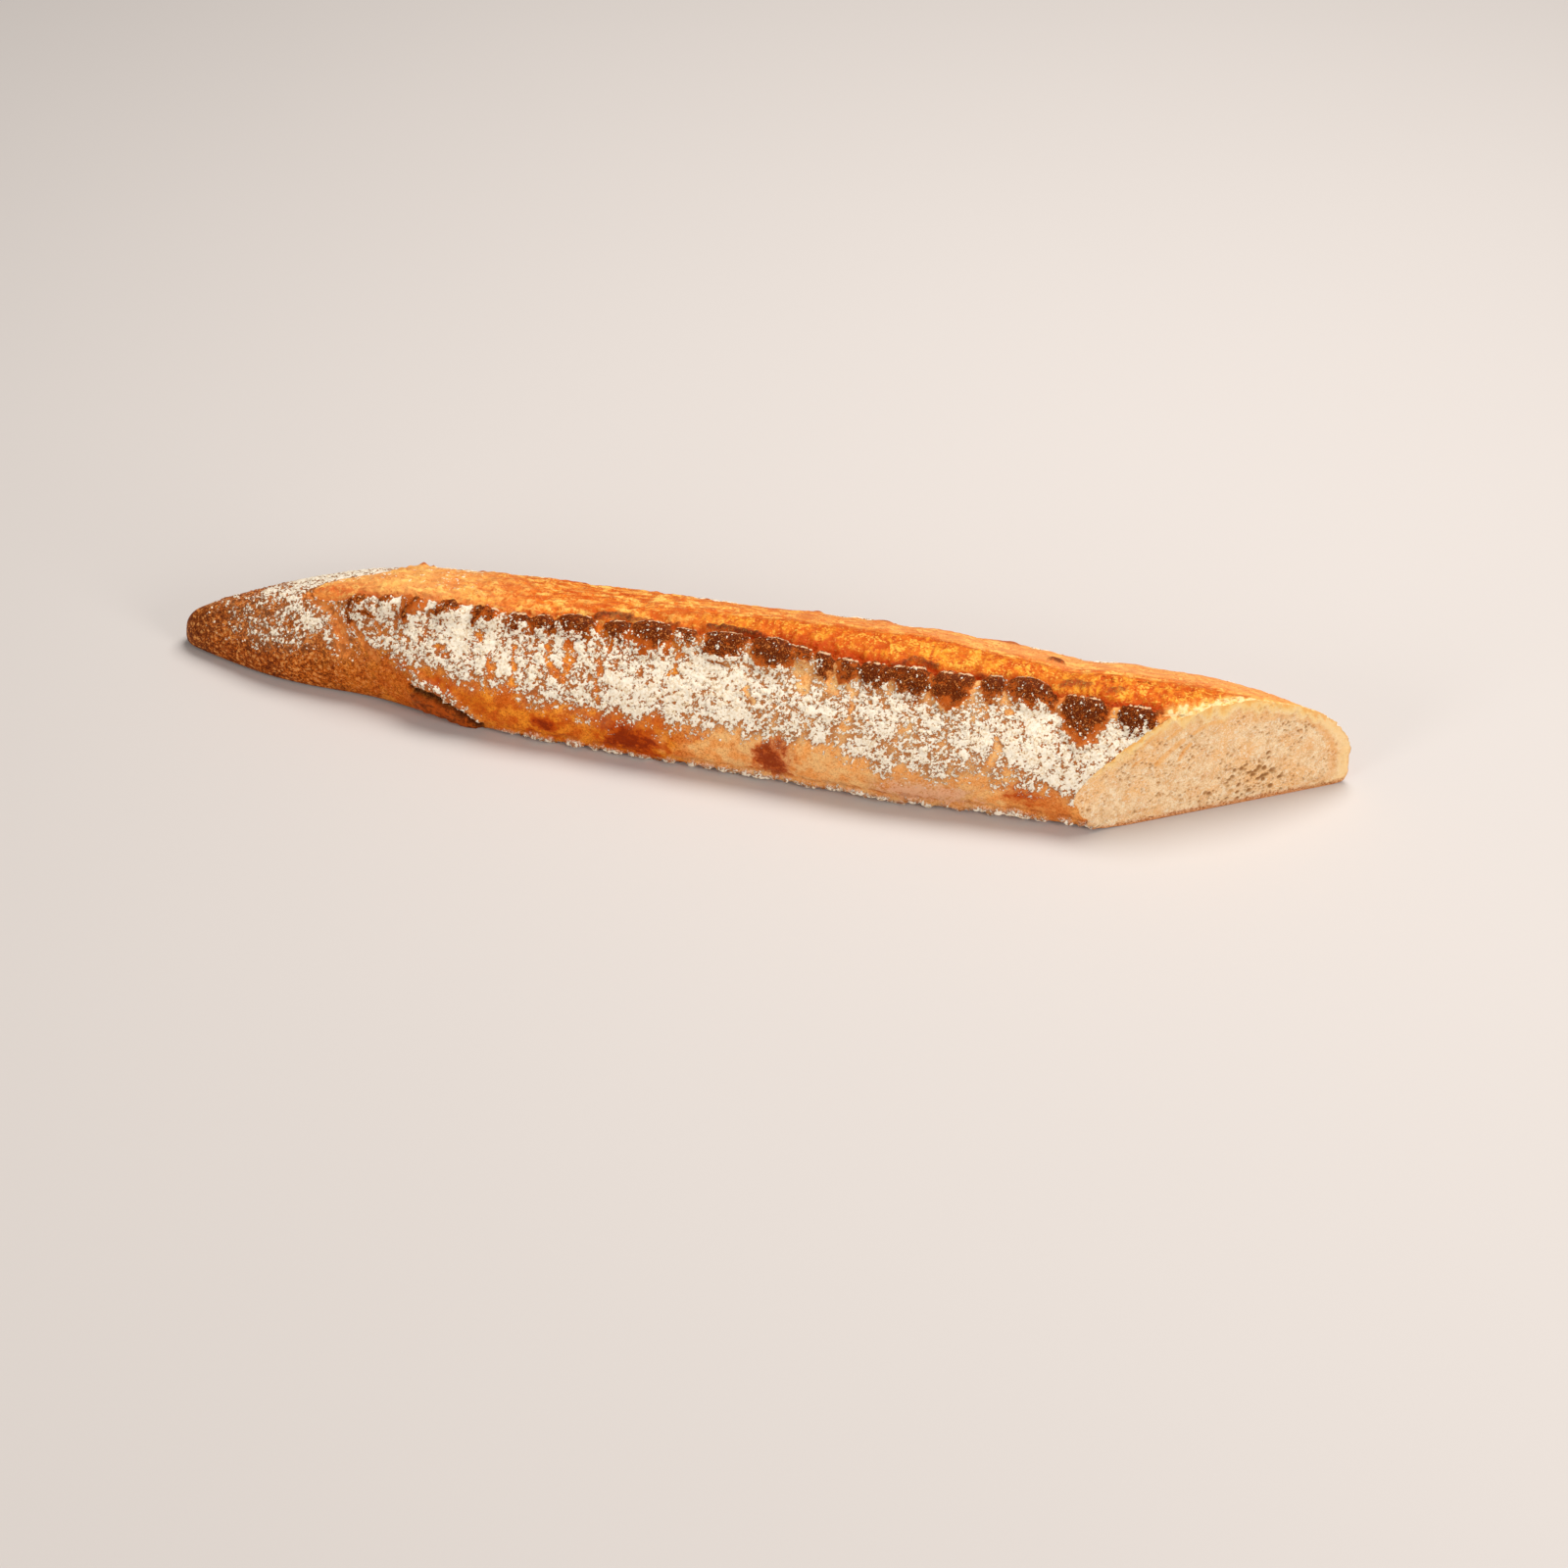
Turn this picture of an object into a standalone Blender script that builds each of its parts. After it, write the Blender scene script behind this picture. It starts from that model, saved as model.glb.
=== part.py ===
# A baguette, cut slantwise at one end, lying on its flat baked base.
#
# Metres, +Z up. The loaf lies along X: its nose points to -X and its cut end to +X. The scored front,
# with the raised lip, faces -Y. The finished solid stands on z = 0, centred over its footprint.

import math

import bmesh
import bpy
from mathutils import Vector

MM = 0.001

# The loaf. Places along it are measured from a mark just ahead of the tip of its nose.
NOSE_START = 4.7 * MM
BODY_LENGTH = 452 * MM          # to beyond the slanting cut, which trims it
FULL_WIDTH = 73.4 * MM
FULL_HEIGHT = 44.6 * MM

# The nose: a blunt cap of this radius, then a long taper up to the full section.
NOSE_CAP = 6.0 * MM
NOSE_BLUNTNESS = 0.120          # share of the full width that the cap reaches
NOSE_TAPER = 202 * MM
NOSE_FULLNESS = 3.16            # a higher power fills the taper out sooner
NOSE_TURN = 8.4 * MM            # the tip bends this far to the front
HEIGHT_POWER = 0.68             # the height tapers more slowly than the width

# Under the nose the base lifts off the table and rounds off.
LIFT_REACH = 50 * MM
NOSE_LIFT = 1.8 * MM
NOSE_UNDERCUT = 0.10            # share of the width that the base loses at the tip
WIDEST_UP = 0.33                # where the walls are widest, as a share of the height

# The far end narrows a little towards where the rest of the loaf was.
TAIL_START = 370 * MM
TAIL_END = 439 * MM
TAIL_NARROWING = 0.618
TAIL_SINKING = 0.193

# The cut: a flat plane at this angle to the loaf's length, leaning a little.
CUT_PLACE = 400.6 * MM
CUT_ANGLE = math.radians(31.8)
CUT_LEAN = -0.066               # run along x for each unit of height
CUT_LEAN_HEIGHT = 20 * MM

# The cross-section where the score is open, as shares of half the width and of the height. It starts
# at the front wall, climbs to the lip, crosses the bloom and comes down the back to the base. The
# third figure is how many facets lead on to the next point.
SECTION = (
    (-1.00, 0.33, 2),
    (-0.95, 0.47, 2),
    (-0.82, 0.64, 3),
    (-0.61, 0.83, 3),
    (-0.43, 0.965, 4),
    (-0.25, 0.99, 4),
    (-0.04, 0.97, 4),
    (0.29, 0.89, 3),
    (0.52, 0.79, 3),
    (0.73, 0.66, 3),
    (0.925, 0.46, 3),
    (0.995, 0.22, 2),
    (0.955, 0.06, 2),
    (0.80, 0.00, 1),
    (0.30, -0.01, 1),
    (-0.30, -0.01, 1),
    (-0.80, 0.00, 2),
    (-0.93, 0.11, 2),
)
LIP_POINT = 4                   # the section's point on the lip

# The score: an opened slash along the top, whose front edge is a raised, scalloped lip. Distances
# across are measured over the crust from the lip, and the front is negative.
SCORE_START = 62 * MM
SCORE_FADE = 16 * MM
LIP_RISE = 1.1 * MM
LIP_ACROSS = -3.0 * MM
LIP_SPREAD = 3.2 * MM
SCALLOP_RISE = 1.7 * MM
TROUGH_DEPTH = 2.8 * MM
TROUGH_ACROSS = 4.2 * MM
TROUGH_SPREAD = 2.6 * MM
BLOOM_RISE = 1.0 * MM
BLOOM_ACROSS = 16 * MM
BLOOM_SPREAD = 8 * MM

# The lip's lobes: centre along the loaf and width, in millimetres.
LOBES = (
    (79, 8), (89, 8), (102, 12), (116, 9), (128, 8), (142, 14), (157, 15), (172, 8), (185, 15),
    (211, 17), (230, 18), (248, 9), (257, 9), (268, 10), (279, 12), (293, 16), (308, 9), (321, 15),
    (339, 16), (357, 8), (365, 7),
)

# Slow swells and hollows: centre and reach along the loaf, rise of the crown, push of the front
# wall, all in millimetres.
SWELLS = (
    (84, 24, 1.8, -4.2),
    (160, 32, -2.6, 0.0),
    (270, 38, 2.4, 2.2),
    (335, 10, -2.3, 0.0),
    (350, 30, 0.0, -1.5),
)

# A burst at the foot of the front wall: a tongue of crust under a short deep crease.
BURST_PLACE = 115 * MM
BURST_REACH = 14 * MM
TONGUE_PUSH = 3.2 * MM
TONGUE_HEIGHT = 2.5 * MM
CREASE_DEPTH = 3.0 * MM
CREASE_HEIGHT = 8.5 * MM
CREASE_SPREAD = 2.2 * MM

# Sections are close together in the nose, then evenly spaced to the end.
NOSE_SECTIONS = 16
NOSE_SECTIONS_END = 56 * MM
EVEN_SECTIONS = 84


def remove_everything():
    for thing in list(bpy.data.objects):
        bpy.data.objects.remove(thing, do_unlink=True)


def bell(distance, spread):
    return math.exp(-((distance / spread) ** 2))


def smooth_step(value):
    share = min(max(value, 0.0), 1.0)
    return share * share * (3 - 2 * share)


def section_places():
    """Where the sections stand, from the nose tip to beyond the cut."""
    reach = NOSE_SECTIONS_END - NOSE_START
    nose = [NOSE_START + reach * (step / NOSE_SECTIONS) ** 1.8 for step in range(1, NOSE_SECTIONS + 1)]
    stride = (BODY_LENGTH - NOSE_SECTIONS_END) / EVEN_SECTIONS
    return nose + [NOSE_SECTIONS_END + stride * step for step in range(1, EVEN_SECTIONS)]


def spline_point(before, start, end, after, share):
    """A Catmull-Rom curve from start to end."""
    square = share * share
    cube = square * share
    return 0.5 * (
        2 * start
        + (end - before) * share
        + (2 * before - 5 * start + 4 * end - after) * square
        + (3 * start - before - 3 * end + after) * cube
    )


def unit_section():
    """The smooth closed section, in shares, and the number of the facet corner on the lip."""
    count = len(SECTION)
    corners = [Vector((across, up)) for across, up, facets in SECTION]
    outline = []
    for number, (across, up, facets) in enumerate(SECTION):
        if number == LIP_POINT:
            lip = len(outline)
        near = [corners[(number + step) % count] for step in (-1, 0, 1, 2)]
        outline += [spline_point(*near, step / facets) for step in range(facets)]
    return outline, lip


def nose_share(along):
    from_tip = along - NOSE_START
    cap = min(from_tip / NOSE_CAP, 1.0)
    rounded = math.sqrt(1 - (1 - cap) ** 2)
    tapered = 1 - (1 - min(from_tip / NOSE_TAPER, 1.0)) ** NOSE_FULLNESS
    return NOSE_BLUNTNESS * rounded + (1 - NOSE_BLUNTNESS) * tapered


def tail_share(along):
    return max(along - TAIL_START, 0.0) / (TAIL_END - TAIL_START)


def scallop(along):
    """0 between two of the lip's lobes, 1 at the middle of one."""
    highest = 0.0
    for centre, width in LOBES:
        offset = (along / MM - centre) / (width / 2)
        if abs(offset) < 1:
            highest = max(highest, math.sqrt(1 - offset * offset))
    return highest


def swelling(along):
    crown = sum(rise * MM * bell(along / MM - place, reach) for place, reach, rise, push in SWELLS)
    front = sum(push * MM * bell(along / MM - place, reach) for place, reach, rise, push in SWELLS)
    return crown, front


def score_relief(along, across):
    """How far the crust stands out of the smooth section at this distance over it from the lip."""
    open_share = smooth_step((along - SCORE_START) / SCORE_FADE)
    lip = (LIP_RISE + SCALLOP_RISE * scallop(along)) * bell(across - LIP_ACROSS, LIP_SPREAD)
    trough = TROUGH_DEPTH * bell(across - TROUGH_ACROSS, TROUGH_SPREAD)
    bloom = BLOOM_RISE * bell(across - BLOOM_ACROSS, BLOOM_SPREAD)
    return open_share * (lip - trough + bloom)


def burst_relief(along, height):
    reach = bell(along - BURST_PLACE, BURST_REACH)
    tongue = TONGUE_PUSH * bell(height - TONGUE_HEIGHT, TONGUE_HEIGHT * 1.5)
    crease = CREASE_DEPTH * bell(height - CREASE_HEIGHT, CREASE_SPREAD)
    return reach * (tongue - crease)


def body_section(along, outline, lip):
    """The loaf's section at this place along it, as (across, up) in metres."""
    share = nose_share(along)
    tail = tail_share(along)
    half_width = FULL_WIDTH / 2 * share * (1 - TAIL_NARROWING * tail**2)
    height = FULL_HEIGHT * share**HEIGHT_POWER * (1 - TAIL_SINKING * tail**2)
    turn = NOSE_TURN * (1 - min(along / NOSE_TAPER, 1.0)) ** 3
    lifted = (1 - min(along / LIFT_REACH, 1.0)) ** 2
    crown, front = swelling(along)
    points = []
    for corner in outline:
        undercut = NOSE_UNDERCUT * lifted * max(1 - corner.y / WIDEST_UP, 0.0)
        across = corner.x * half_width * (1 - undercut) - front * max(-corner.x, 0.0) - turn
        up = corner.y * (height + crown) + NOSE_LIFT * lifted
        points.append(Vector((across, up)))
    count = len(points)
    travelled = [0.0]
    for number in range(1, count):
        travelled.append(travelled[-1] + (points[number] - points[number - 1]).length)
    shaped = []
    for number, point in enumerate(points):
        tangent = (points[(number + 1) % count] - points[number - 1]).normalized()
        outward = Vector((-tangent.y, tangent.x))
        relief = score_relief(along, travelled[number] - travelled[lip])
        if point.x < 0:
            relief += burst_relief(along, point.y)
        shaped.append(point + outward * relief)
    return shaped


def cut_plane():
    """A point of the cut and the direction that it faces."""
    point = Vector((CUT_PLACE, 0.0, CUT_LEAN_HEIGHT))
    facing = Vector((1.0, -1 / math.tan(CUT_ANGLE), -CUT_LEAN)).normalized()
    return point, facing


def slice_off(mesh, point, facing):
    """Removes what lies in front of a plane and closes the opening with one flat face."""
    everything = mesh.verts[:] + mesh.edges[:] + mesh.faces[:]
    bmesh.ops.bisect_plane(
        mesh, geom=everything, dist=1e-7, plane_co=point, plane_no=facing, clear_outer=True
    )
    rim = [edge for edge in mesh.edges if edge.is_boundary]
    bmesh.ops.contextual_create(mesh, geom=rim)


def build_loaf():
    """A sphere's rings and poles, moved on to the loaf's sections, then trimmed at the cut and base."""
    outline, lip = unit_section()
    around = len(outline)
    places = section_places()
    mesh = bmesh.new()
    bmesh.ops.create_uvsphere(mesh, u_segments=around, v_segments=len(places) + 1, radius=1.0)
    sections = [body_section(place, outline, lip) for place in places]
    for vertex in mesh.verts:
        pole = math.acos(max(-1.0, min(1.0, vertex.co.z)))
        ring = round(pole / math.pi * (len(places) + 1))
        if ring == 0:
            tip = sum(sections[0], Vector((0.0, 0.0))) / around
            vertex.co = Vector((NOSE_START, tip.x, tip.y))
        elif ring == len(places) + 1:
            vertex.co = Vector((BODY_LENGTH, 0.0, sections[-1][lip].y / 2))
        else:
            turn = round(math.atan2(vertex.co.y, vertex.co.x) / (2 * math.pi) * around) % around
            point = sections[ring - 1][turn]
            vertex.co = Vector((places[ring - 1], point.x, point.y))
    bmesh.ops.recalc_face_normals(mesh, faces=mesh.faces[:])
    slice_off(mesh, *cut_plane())
    slice_off(mesh, Vector((0.0, 0.0, 0.0)), Vector((0.0, 0.0, -1.0)))
    bmesh.ops.triangulate(mesh, faces=mesh.faces[:])
    bmesh.ops.recalc_face_normals(mesh, faces=mesh.faces[:])
    centre_over_footprint(mesh)
    return mesh


def centre_over_footprint(mesh):
    lowest = Vector([min(vertex.co[axis] for vertex in mesh.verts) for axis in range(3)])
    highest = Vector([max(vertex.co[axis] for vertex in mesh.verts) for axis in range(3)])
    middle = (lowest + highest) / 2
    bmesh.ops.translate(mesh, verts=mesh.verts[:], vec=(-middle.x, -middle.y, -lowest.z))


def crust_material():
    material = bpy.data.materials.new("baked_crust")
    material.use_nodes = True
    shader = material.node_tree.nodes["Principled BSDF"]
    shader.inputs["Base Color"].default_value = (0.56, 0.25, 0.07, 1.0)
    shader.inputs["Roughness"].default_value = 0.62
    shader.inputs["Metallic"].default_value = 0.0
    return material


def main():
    remove_everything()
    parts = bpy.data.collections.new("baguette")
    bpy.context.scene.collection.children.link(parts)
    solid = build_loaf()
    mesh = bpy.data.meshes.new("loaf")
    solid.to_mesh(mesh)
    solid.free()
    mesh.materials.append(crust_material())
    mesh.shade_smooth()
    mesh.set_sharp_from_angle(angle=math.radians(50))
    loaf = bpy.data.objects.new("loaf", mesh)
    parts.objects.link(loaf)


main()
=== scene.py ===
import math

import bmesh
import bpy
import numpy as np
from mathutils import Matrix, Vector, noise


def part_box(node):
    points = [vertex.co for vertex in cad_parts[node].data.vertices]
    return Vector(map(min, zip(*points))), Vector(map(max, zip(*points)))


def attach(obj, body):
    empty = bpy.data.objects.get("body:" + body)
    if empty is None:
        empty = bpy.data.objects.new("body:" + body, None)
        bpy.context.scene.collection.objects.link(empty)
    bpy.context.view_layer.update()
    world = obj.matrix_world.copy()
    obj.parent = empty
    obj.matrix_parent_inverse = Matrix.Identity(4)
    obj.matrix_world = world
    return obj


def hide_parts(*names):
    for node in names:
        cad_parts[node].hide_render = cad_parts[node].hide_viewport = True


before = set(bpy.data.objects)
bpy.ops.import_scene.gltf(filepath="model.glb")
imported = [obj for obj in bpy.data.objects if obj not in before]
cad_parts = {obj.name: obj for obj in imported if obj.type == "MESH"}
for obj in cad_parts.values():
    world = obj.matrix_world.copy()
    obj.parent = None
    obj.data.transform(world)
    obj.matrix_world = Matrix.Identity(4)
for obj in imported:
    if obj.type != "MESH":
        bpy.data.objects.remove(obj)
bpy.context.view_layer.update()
low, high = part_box("loaf")
mm = 0.001
seed = np.random.default_rng(27)

# The loaf's form. Along is measured from a mark just ahead of the nose tip, across from the middle line.
# Girth is the distance over the crust from the lip of the score, and the front is negative.
form = {
    "halfWidth": 36.7 * mm,
    "backReach": 0.9975,        # the back wall's widest place, as a share of the half width
    "height": 44.6 * mm,
    "noseStart": 4.7 * mm,
    "noseCap": 6.0 * mm,
    "noseBluntness": 0.120,
    "noseTaper": 202 * mm,
    "noseFullness": 3.16,
    "noseTurn": 8.4 * mm,
    "heightPower": 0.68,
    "leastSize": 0.05,
    "liftReach": 50 * mm,
    "noseLift": 1.8 * mm,
    "noseUndercut": 0.10,
    "widestUp": 0.33,
    "tailStart": 370 * mm,
    "tailLength": 69 * mm,
    "tailNarrowing": 0.618,
    "tailSinking": 0.193,
    "cutPlace": 400.6 * mm,
    "cutAngle": math.radians(31.8),
    "cutLean": -0.066,
    "cutLeanHeight": 20 * mm,
    "cutSteps": 14,
    "hiddenGap": 3.0 * mm,      # how far short of the cut face the hidden layers end
    "joinGap": 0.004 * mm,      # points closer than this are joined
    # across and up, as shares: front wall, lip, bloom, back wall, base
    "section": (
        (-1.00, 0.33), (-0.95, 0.47), (-0.82, 0.64), (-0.61, 0.83), (-0.43, 0.965), (-0.25, 0.99),
        (-0.04, 0.97), (0.29, 0.89), (0.52, 0.79), (0.73, 0.66), (0.925, 0.46), (0.995, 0.22),
        (0.955, 0.06), (0.80, 0.00), (0.30, -0.01), (-0.30, -0.01), (-0.80, 0.00), (-0.93, 0.11),
    ),
    "cornerSteps": 40,
    "lipCorner": 4,
    "frontFootCorner": 16.2,
    "backFootCorner": 12.7,
    "baseMiddleCorner": 14.5,
    # place, reach, rise of the crown, push of the front wall, in millimetres
    "swells": (
        (84, 24, 1.8, -4.2), (160, 32, -2.6, 0.0), (270, 38, 2.4, 2.2), (335, 10, -2.3, 0.0),
        (350, 30, 0.0, -1.5),
    ),
}
startMark = low.x - form["noseStart"]
middleLine = high.y - form["backReach"] * form["halfWidth"]


def held(value):
    # kept between 0 and 1
    return np.clip(value, 0, 1)


def bell(distance, spread):
    return np.exp(-((distance / spread) ** 2))


def ease(value, start, end):
    # 0 up to the start and 1 past the end, or the other way round where the end comes first
    share = held((value - start) / (end - start))
    return share * share * (3 - 2 * share)


def knots(value, *pairs):
    # a value that goes evenly from one pair to the next
    return np.interp(value, [pair[0] for pair in pairs], [pair[1] for pair in pairs])


def smoothSection():
    # the closed section as a dense curve, with each point's share of the whole girth
    corners = np.array(form["section"])
    outline = []
    share = np.linspace(0, 1, form["cornerSteps"], endpoint=False)[:, None]
    for number in range(len(corners)):
        before, start, end, after = (corners[(number + step) % len(corners)] for step in (-1, 0, 1, 2))
        curve = 2 * start + (end - before) * share
        curve = curve + (2 * before - 5 * start + 4 * end - after) * share**2
        curve = curve + (3 * start - before - 3 * end + after) * share**3
        outline.append(curve / 2)
    outline = np.vstack(outline + [outline[0][:1]])
    steps = np.linalg.norm(np.diff(outline * (form["halfWidth"], form["height"]), axis=0), axis=1)
    travelled = np.concatenate(([0.0], np.cumsum(steps)))
    return outline, travelled / travelled[-1], travelled[-1]


outline, outlineShare, fullGirth = smoothSection()


def cornerShare(corner):
    return outlineShare[round(corner * form["cornerSteps"])]


lipShare = cornerShare(form["lipCorner"])


def sectionSize(along):
    # how large the section is here, compared with the full one
    fromTip = along - form["noseStart"]
    cap = held(fromTip / form["noseCap"])
    rounded = np.sqrt(1 - (1 - cap) ** 2)
    tapered = 1 - (1 - held(fromTip / form["noseTaper"])) ** form["noseFullness"]
    return form["noseBluntness"] * rounded + (1 - form["noseBluntness"]) * tapered


def swells(along):
    # how far the crown rises here, and how far the front wall is pushed out
    rise, push = 0.0, 0.0
    for place, reach, up, out in form["swells"]:
        near = bell(along / mm - place, reach)
        rise = rise + up * mm * near
        push = push + out * mm * near
    return rise, push


def skin(along, share):
    # the smooth skin, as points of the part's own frame
    size = sectionSize(along)
    tail = np.clip((along - form["tailStart"]) / form["tailLength"], 0, None)
    halfWidth = form["halfWidth"] * size * (1 - form["tailNarrowing"] * tail**2)
    height = form["height"] * size ** form["heightPower"] * (1 - form["tailSinking"] * tail**2)
    turn = form["noseTurn"] * (1 - held(along / form["noseTaper"])) ** 3
    lifted = (1 - held(along / form["liftReach"])) ** 2
    rise, push = swells(along)
    across, up = (np.interp(share % 1.0, outlineShare, outline[:, axis]) for axis in (0, 1))
    undercut = form["noseUndercut"] * lifted * np.clip(1 - up / form["widestUp"], 0, None)
    y = across * halfWidth * (1 - undercut) - push * np.clip(-across, 0, None) - turn
    z = np.maximum(up * (height + rise), 0) + form["noseLift"] * lifted
    return np.stack([along + startMark + 0 * y, y + middleLine, z + low.z], axis=-1)


def girthAt(along, share):
    turned = (share - lipShare + 0.5) % 1.0 - 0.5
    return turned * fullGirth * sectionSize(along)


def asShare(along, girth):
    # a length around the loaf as a share of the girth there
    return girth / (fullGirth * np.maximum(sectionSize(along), form["leastSize"]))


def shareAt(along, girth):
    return lipShare + asShare(along, girth)


def drawnBack(points, hidden):
    # what lies under another piece ends short of the cut face
    facing = np.array(cutFacing)
    gap = (cutAlong(points) + startMark - points[:, 0]) * facing[0]
    return points - (np.clip(form["hiddenGap"] - gap, 0, None) * hidden)[:, None] * facing


def outwardAt(along, share):
    step, turn = 0.4 * mm, 0.002
    forward = skin(along + step, share) - skin(np.maximum(along - step, form["noseStart"]), share)
    around = skin(along, share + turn) - skin(along, share - turn)
    outward = np.cross(forward, around)
    return outward / np.maximum(np.linalg.norm(outward, axis=-1, keepdims=True), 1e-9)


def cutAlong(points):
    # how far along the cutting plane passes these points
    lean = form["cutLean"] * (points[..., 2] - low.z - form["cutLeanHeight"])
    return form["cutPlace"] + (points[..., 1] - middleLine) / math.tan(form["cutAngle"]) + lean


cutFacing = Vector((1.0, -1 / math.tan(form["cutAngle"]), -form["cutLean"])).normalized()


def unevenness(places, octaves, turn):
    # uneven values, mostly between -1 and 1, at places counted in lumps; each turn gives other lumps
    moved = (places + (turn * 7.3, turn * 3.1, turn * 5.7)).reshape(-1, 3).tolist()
    found = [noise.fractal(place, 1.0, 2.0, octaves) for place in moved]
    return np.array(found).reshape(places.shape[:-1])


def lumps(points, size, octaves, turn):
    # lumps about this many millimetres in size
    return unevenness(points / (size * mm), octaves, turn)


def stretched(along, girth, alongSize, girthSize, octaves, turn):
    # lumps on the unrolled skin, longer one way than the other
    places = np.stack([along / (alongSize * mm), girth / (girthSize * mm), 0 * along + turn], axis=-1)
    return unevenness(places, octaves, turn)


def nearLine(along, girth, points):
    # distance from a line drawn on the unrolled skin, all in millimetres
    nearest = np.full(np.shape(along), 1.0)
    for start, end in zip(points[:-1], points[1:]):
        start, end = np.array(start) * mm, np.array(end) * mm
        run = end - start
        share = held(((along - start[0]) * run[0] + (girth - start[1]) * run[1]) / (run @ run))
        gap = np.hypot(along - start[0] - share * run[0], girth - start[1] - share * run[1])
        nearest = np.minimum(nearest, gap)
    return nearest / mm


def drawn(along, girth, lines):
    # soft lines, each with its points, its width and, unless it is 1, its strength
    strongest = np.zeros(np.shape(along))
    for points, width, *strength in lines:
        strongest = np.maximum(strongest, math.prod(strength) * bell(nearLine(along, girth, points), width))
    return strongest


def randomSizes(smallest, largest, count, power):
    # sizes between these two, more of them small the higher the power
    return smallest + (largest - smallest) * seed.random(count) ** power


def placeObject(name, data):
    placed = bpy.data.objects.new(name, data)
    bpy.context.collection.objects.link(placed)
    return placed


def shapeMesh(name, make, **sizes):
    # a mesh from one of the ready-made shapes
    bm = bmesh.new()
    make(bm, **sizes)
    mesh = bpy.data.meshes.new(name)
    bm.to_mesh(mesh)
    bm.free()
    return mesh


def squareSheet(name, columns, rows):
    # a sheet of squares, with each point's place along and around it from 0 to 1
    mesh = shapeMesh(name, bmesh.ops.create_grid, x_segments=columns, y_segments=rows, size=0.5)
    flat = readPoints(mesh)
    return mesh, held(flat[:, 0] + 0.5), held(flat[:, 1] + 0.5)


def readPoints(mesh):
    values = np.empty(len(mesh.vertices) * 3, np.float32)
    mesh.vertices.foreach_get("co", values)
    return values.reshape(-1, 3).astype(float)


def writePoints(mesh, points):
    mesh.vertices.foreach_set("co", points.astype(np.float32).ravel())
    mesh.update()


def writeShares(mesh, shares):
    for name, values in shares.items():
        attribute = mesh.attributes.new(name, "FLOAT", "POINT")
        attribute.data.foreach_set("value", np.broadcast_to(values, len(mesh.vertices)).astype(np.float32))


def finishPiece(name, mesh, material, inside):
    # joins the seams, turns the faces outward from a point inside and puts the piece in the scene
    bm = bmesh.new()
    bm.from_mesh(mesh)
    bmesh.ops.remove_doubles(bm, verts=bm.verts, dist=form["joinGap"])
    facing = sum(face.normal.dot(face.calc_center_median() - inside) > 0 for face in bm.faces)
    if facing < len(bm.faces) / 2:
        bmesh.ops.reverse_faces(bm, faces=bm.faces)
    for face in bm.faces:
        face.smooth = True
    bm.to_mesh(mesh)
    bm.free()
    return placePiece(name, mesh, material)


def placePiece(name, mesh, material):
    # each piece is named as its finish in the record
    mesh.materials.append(material)
    piece = placeObject(name, mesh)
    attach(piece, "root")
    print(name, "has", sum(len(face.vertices) - 2 for face in mesh.polygons), "triangles")
    return piece


class Wire:
    # one socket of a finish, so that sums read as sums
    def __init__(self, finish, socket):
        self.finish = finish
        self.socket = socket

    def maths(self, operation, *values):
        return self.finish.add("Math", {"operation": operation}, values)

    def __add__(self, other):
        return self.maths("ADD", self, other)

    def __radd__(self, other):
        return self.maths("ADD", other, self)

    def __sub__(self, other):
        return self.maths("SUBTRACT", self, other)

    def __rsub__(self, other):
        return self.maths("SUBTRACT", other, self)

    def __mul__(self, other):
        return self.maths("MULTIPLY", self, other)

    def __rmul__(self, other):
        return self.maths("MULTIPLY", other, self)

    def mixed(self, *grains):
        # broken up by grains about their middle, each followed by its weight
        value = self
        for grain, weight in zip(grains[::2], grains[1::2]):
            value = value + (grain - 0.5) * weight
        return value

    def ease(self, start, end):
        settings = {"interpolation_type": "SMOOTHSTEP"}
        return self.finish.add("MapRange", settings, {"Value": self, "From Min": start, "From Max": end})


class Finish:
    def __init__(self, name):
        self.material = bpy.data.materials.new(name)
        self.material.use_nodes = True
        self.tree = self.material.node_tree
        self.shader = self.tree.nodes["Principled BSDF"]
        self.place = self.add("TexCoord", output="Object")

    def add(self, kind, settings=None, inputs=(), output=0):
        node = self.tree.nodes.new("ShaderNode" + kind)
        for name, value in (settings or {}).items():
            setattr(node, name, value)
        self.fill(node.inputs, inputs.items() if isinstance(inputs, dict) else enumerate(inputs))
        return Wire(self, node.outputs[output])

    def fill(self, sockets, values):
        for key, value in values:
            if isinstance(value, Wire):
                self.tree.links.new(value.socket, sockets[key])
            else:
                sockets[key].default_value = value

    def shares(self, *names):
        return [self.add("Attribute", {"attribute_name": name}, output="Fac") for name in names]

    def grains(self, *kinds):
        # uneven patterns: size in millimetres, detail and roughness
        return [
            self.add("TexNoise", None, {
                "Vector": self.place, "Scale": 1 / (size * mm), "Detail": detail, "Roughness": rough,
            })
            for size, detail, rough in kinds
        ]

    def cells(self, size, feature="F1"):
        return self.add("TexVoronoi", {"feature": feature}, {"Vector": self.place, "Scale": 1 / (size * mm)})

    def blend(self, share, *colours):
        # each colour is another blend, or its red, green and blue on screen
        first, second = (paint(*tint) if isinstance(tint, tuple) else tint for tint in colours)
        return self.add("Mix", {"data_type": "RGBA"}, {0: share, 6: first, 7: second}, 2)

    def coats(self, colour, *layers):
        # layers over a colour, each with its share and its own colour
        for share, over in layers:
            colour = self.blend(share, colour, over)
        return colour

    def relief(self, height, distance):
        return self.add("Bump", None, {"Height": height, "Distance": distance * mm})

    def feed(self, **values):
        self.fill(self.shader.inputs, ((name.replace("_", " "), value) for name, value in values.items()))
        return self.material


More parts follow.
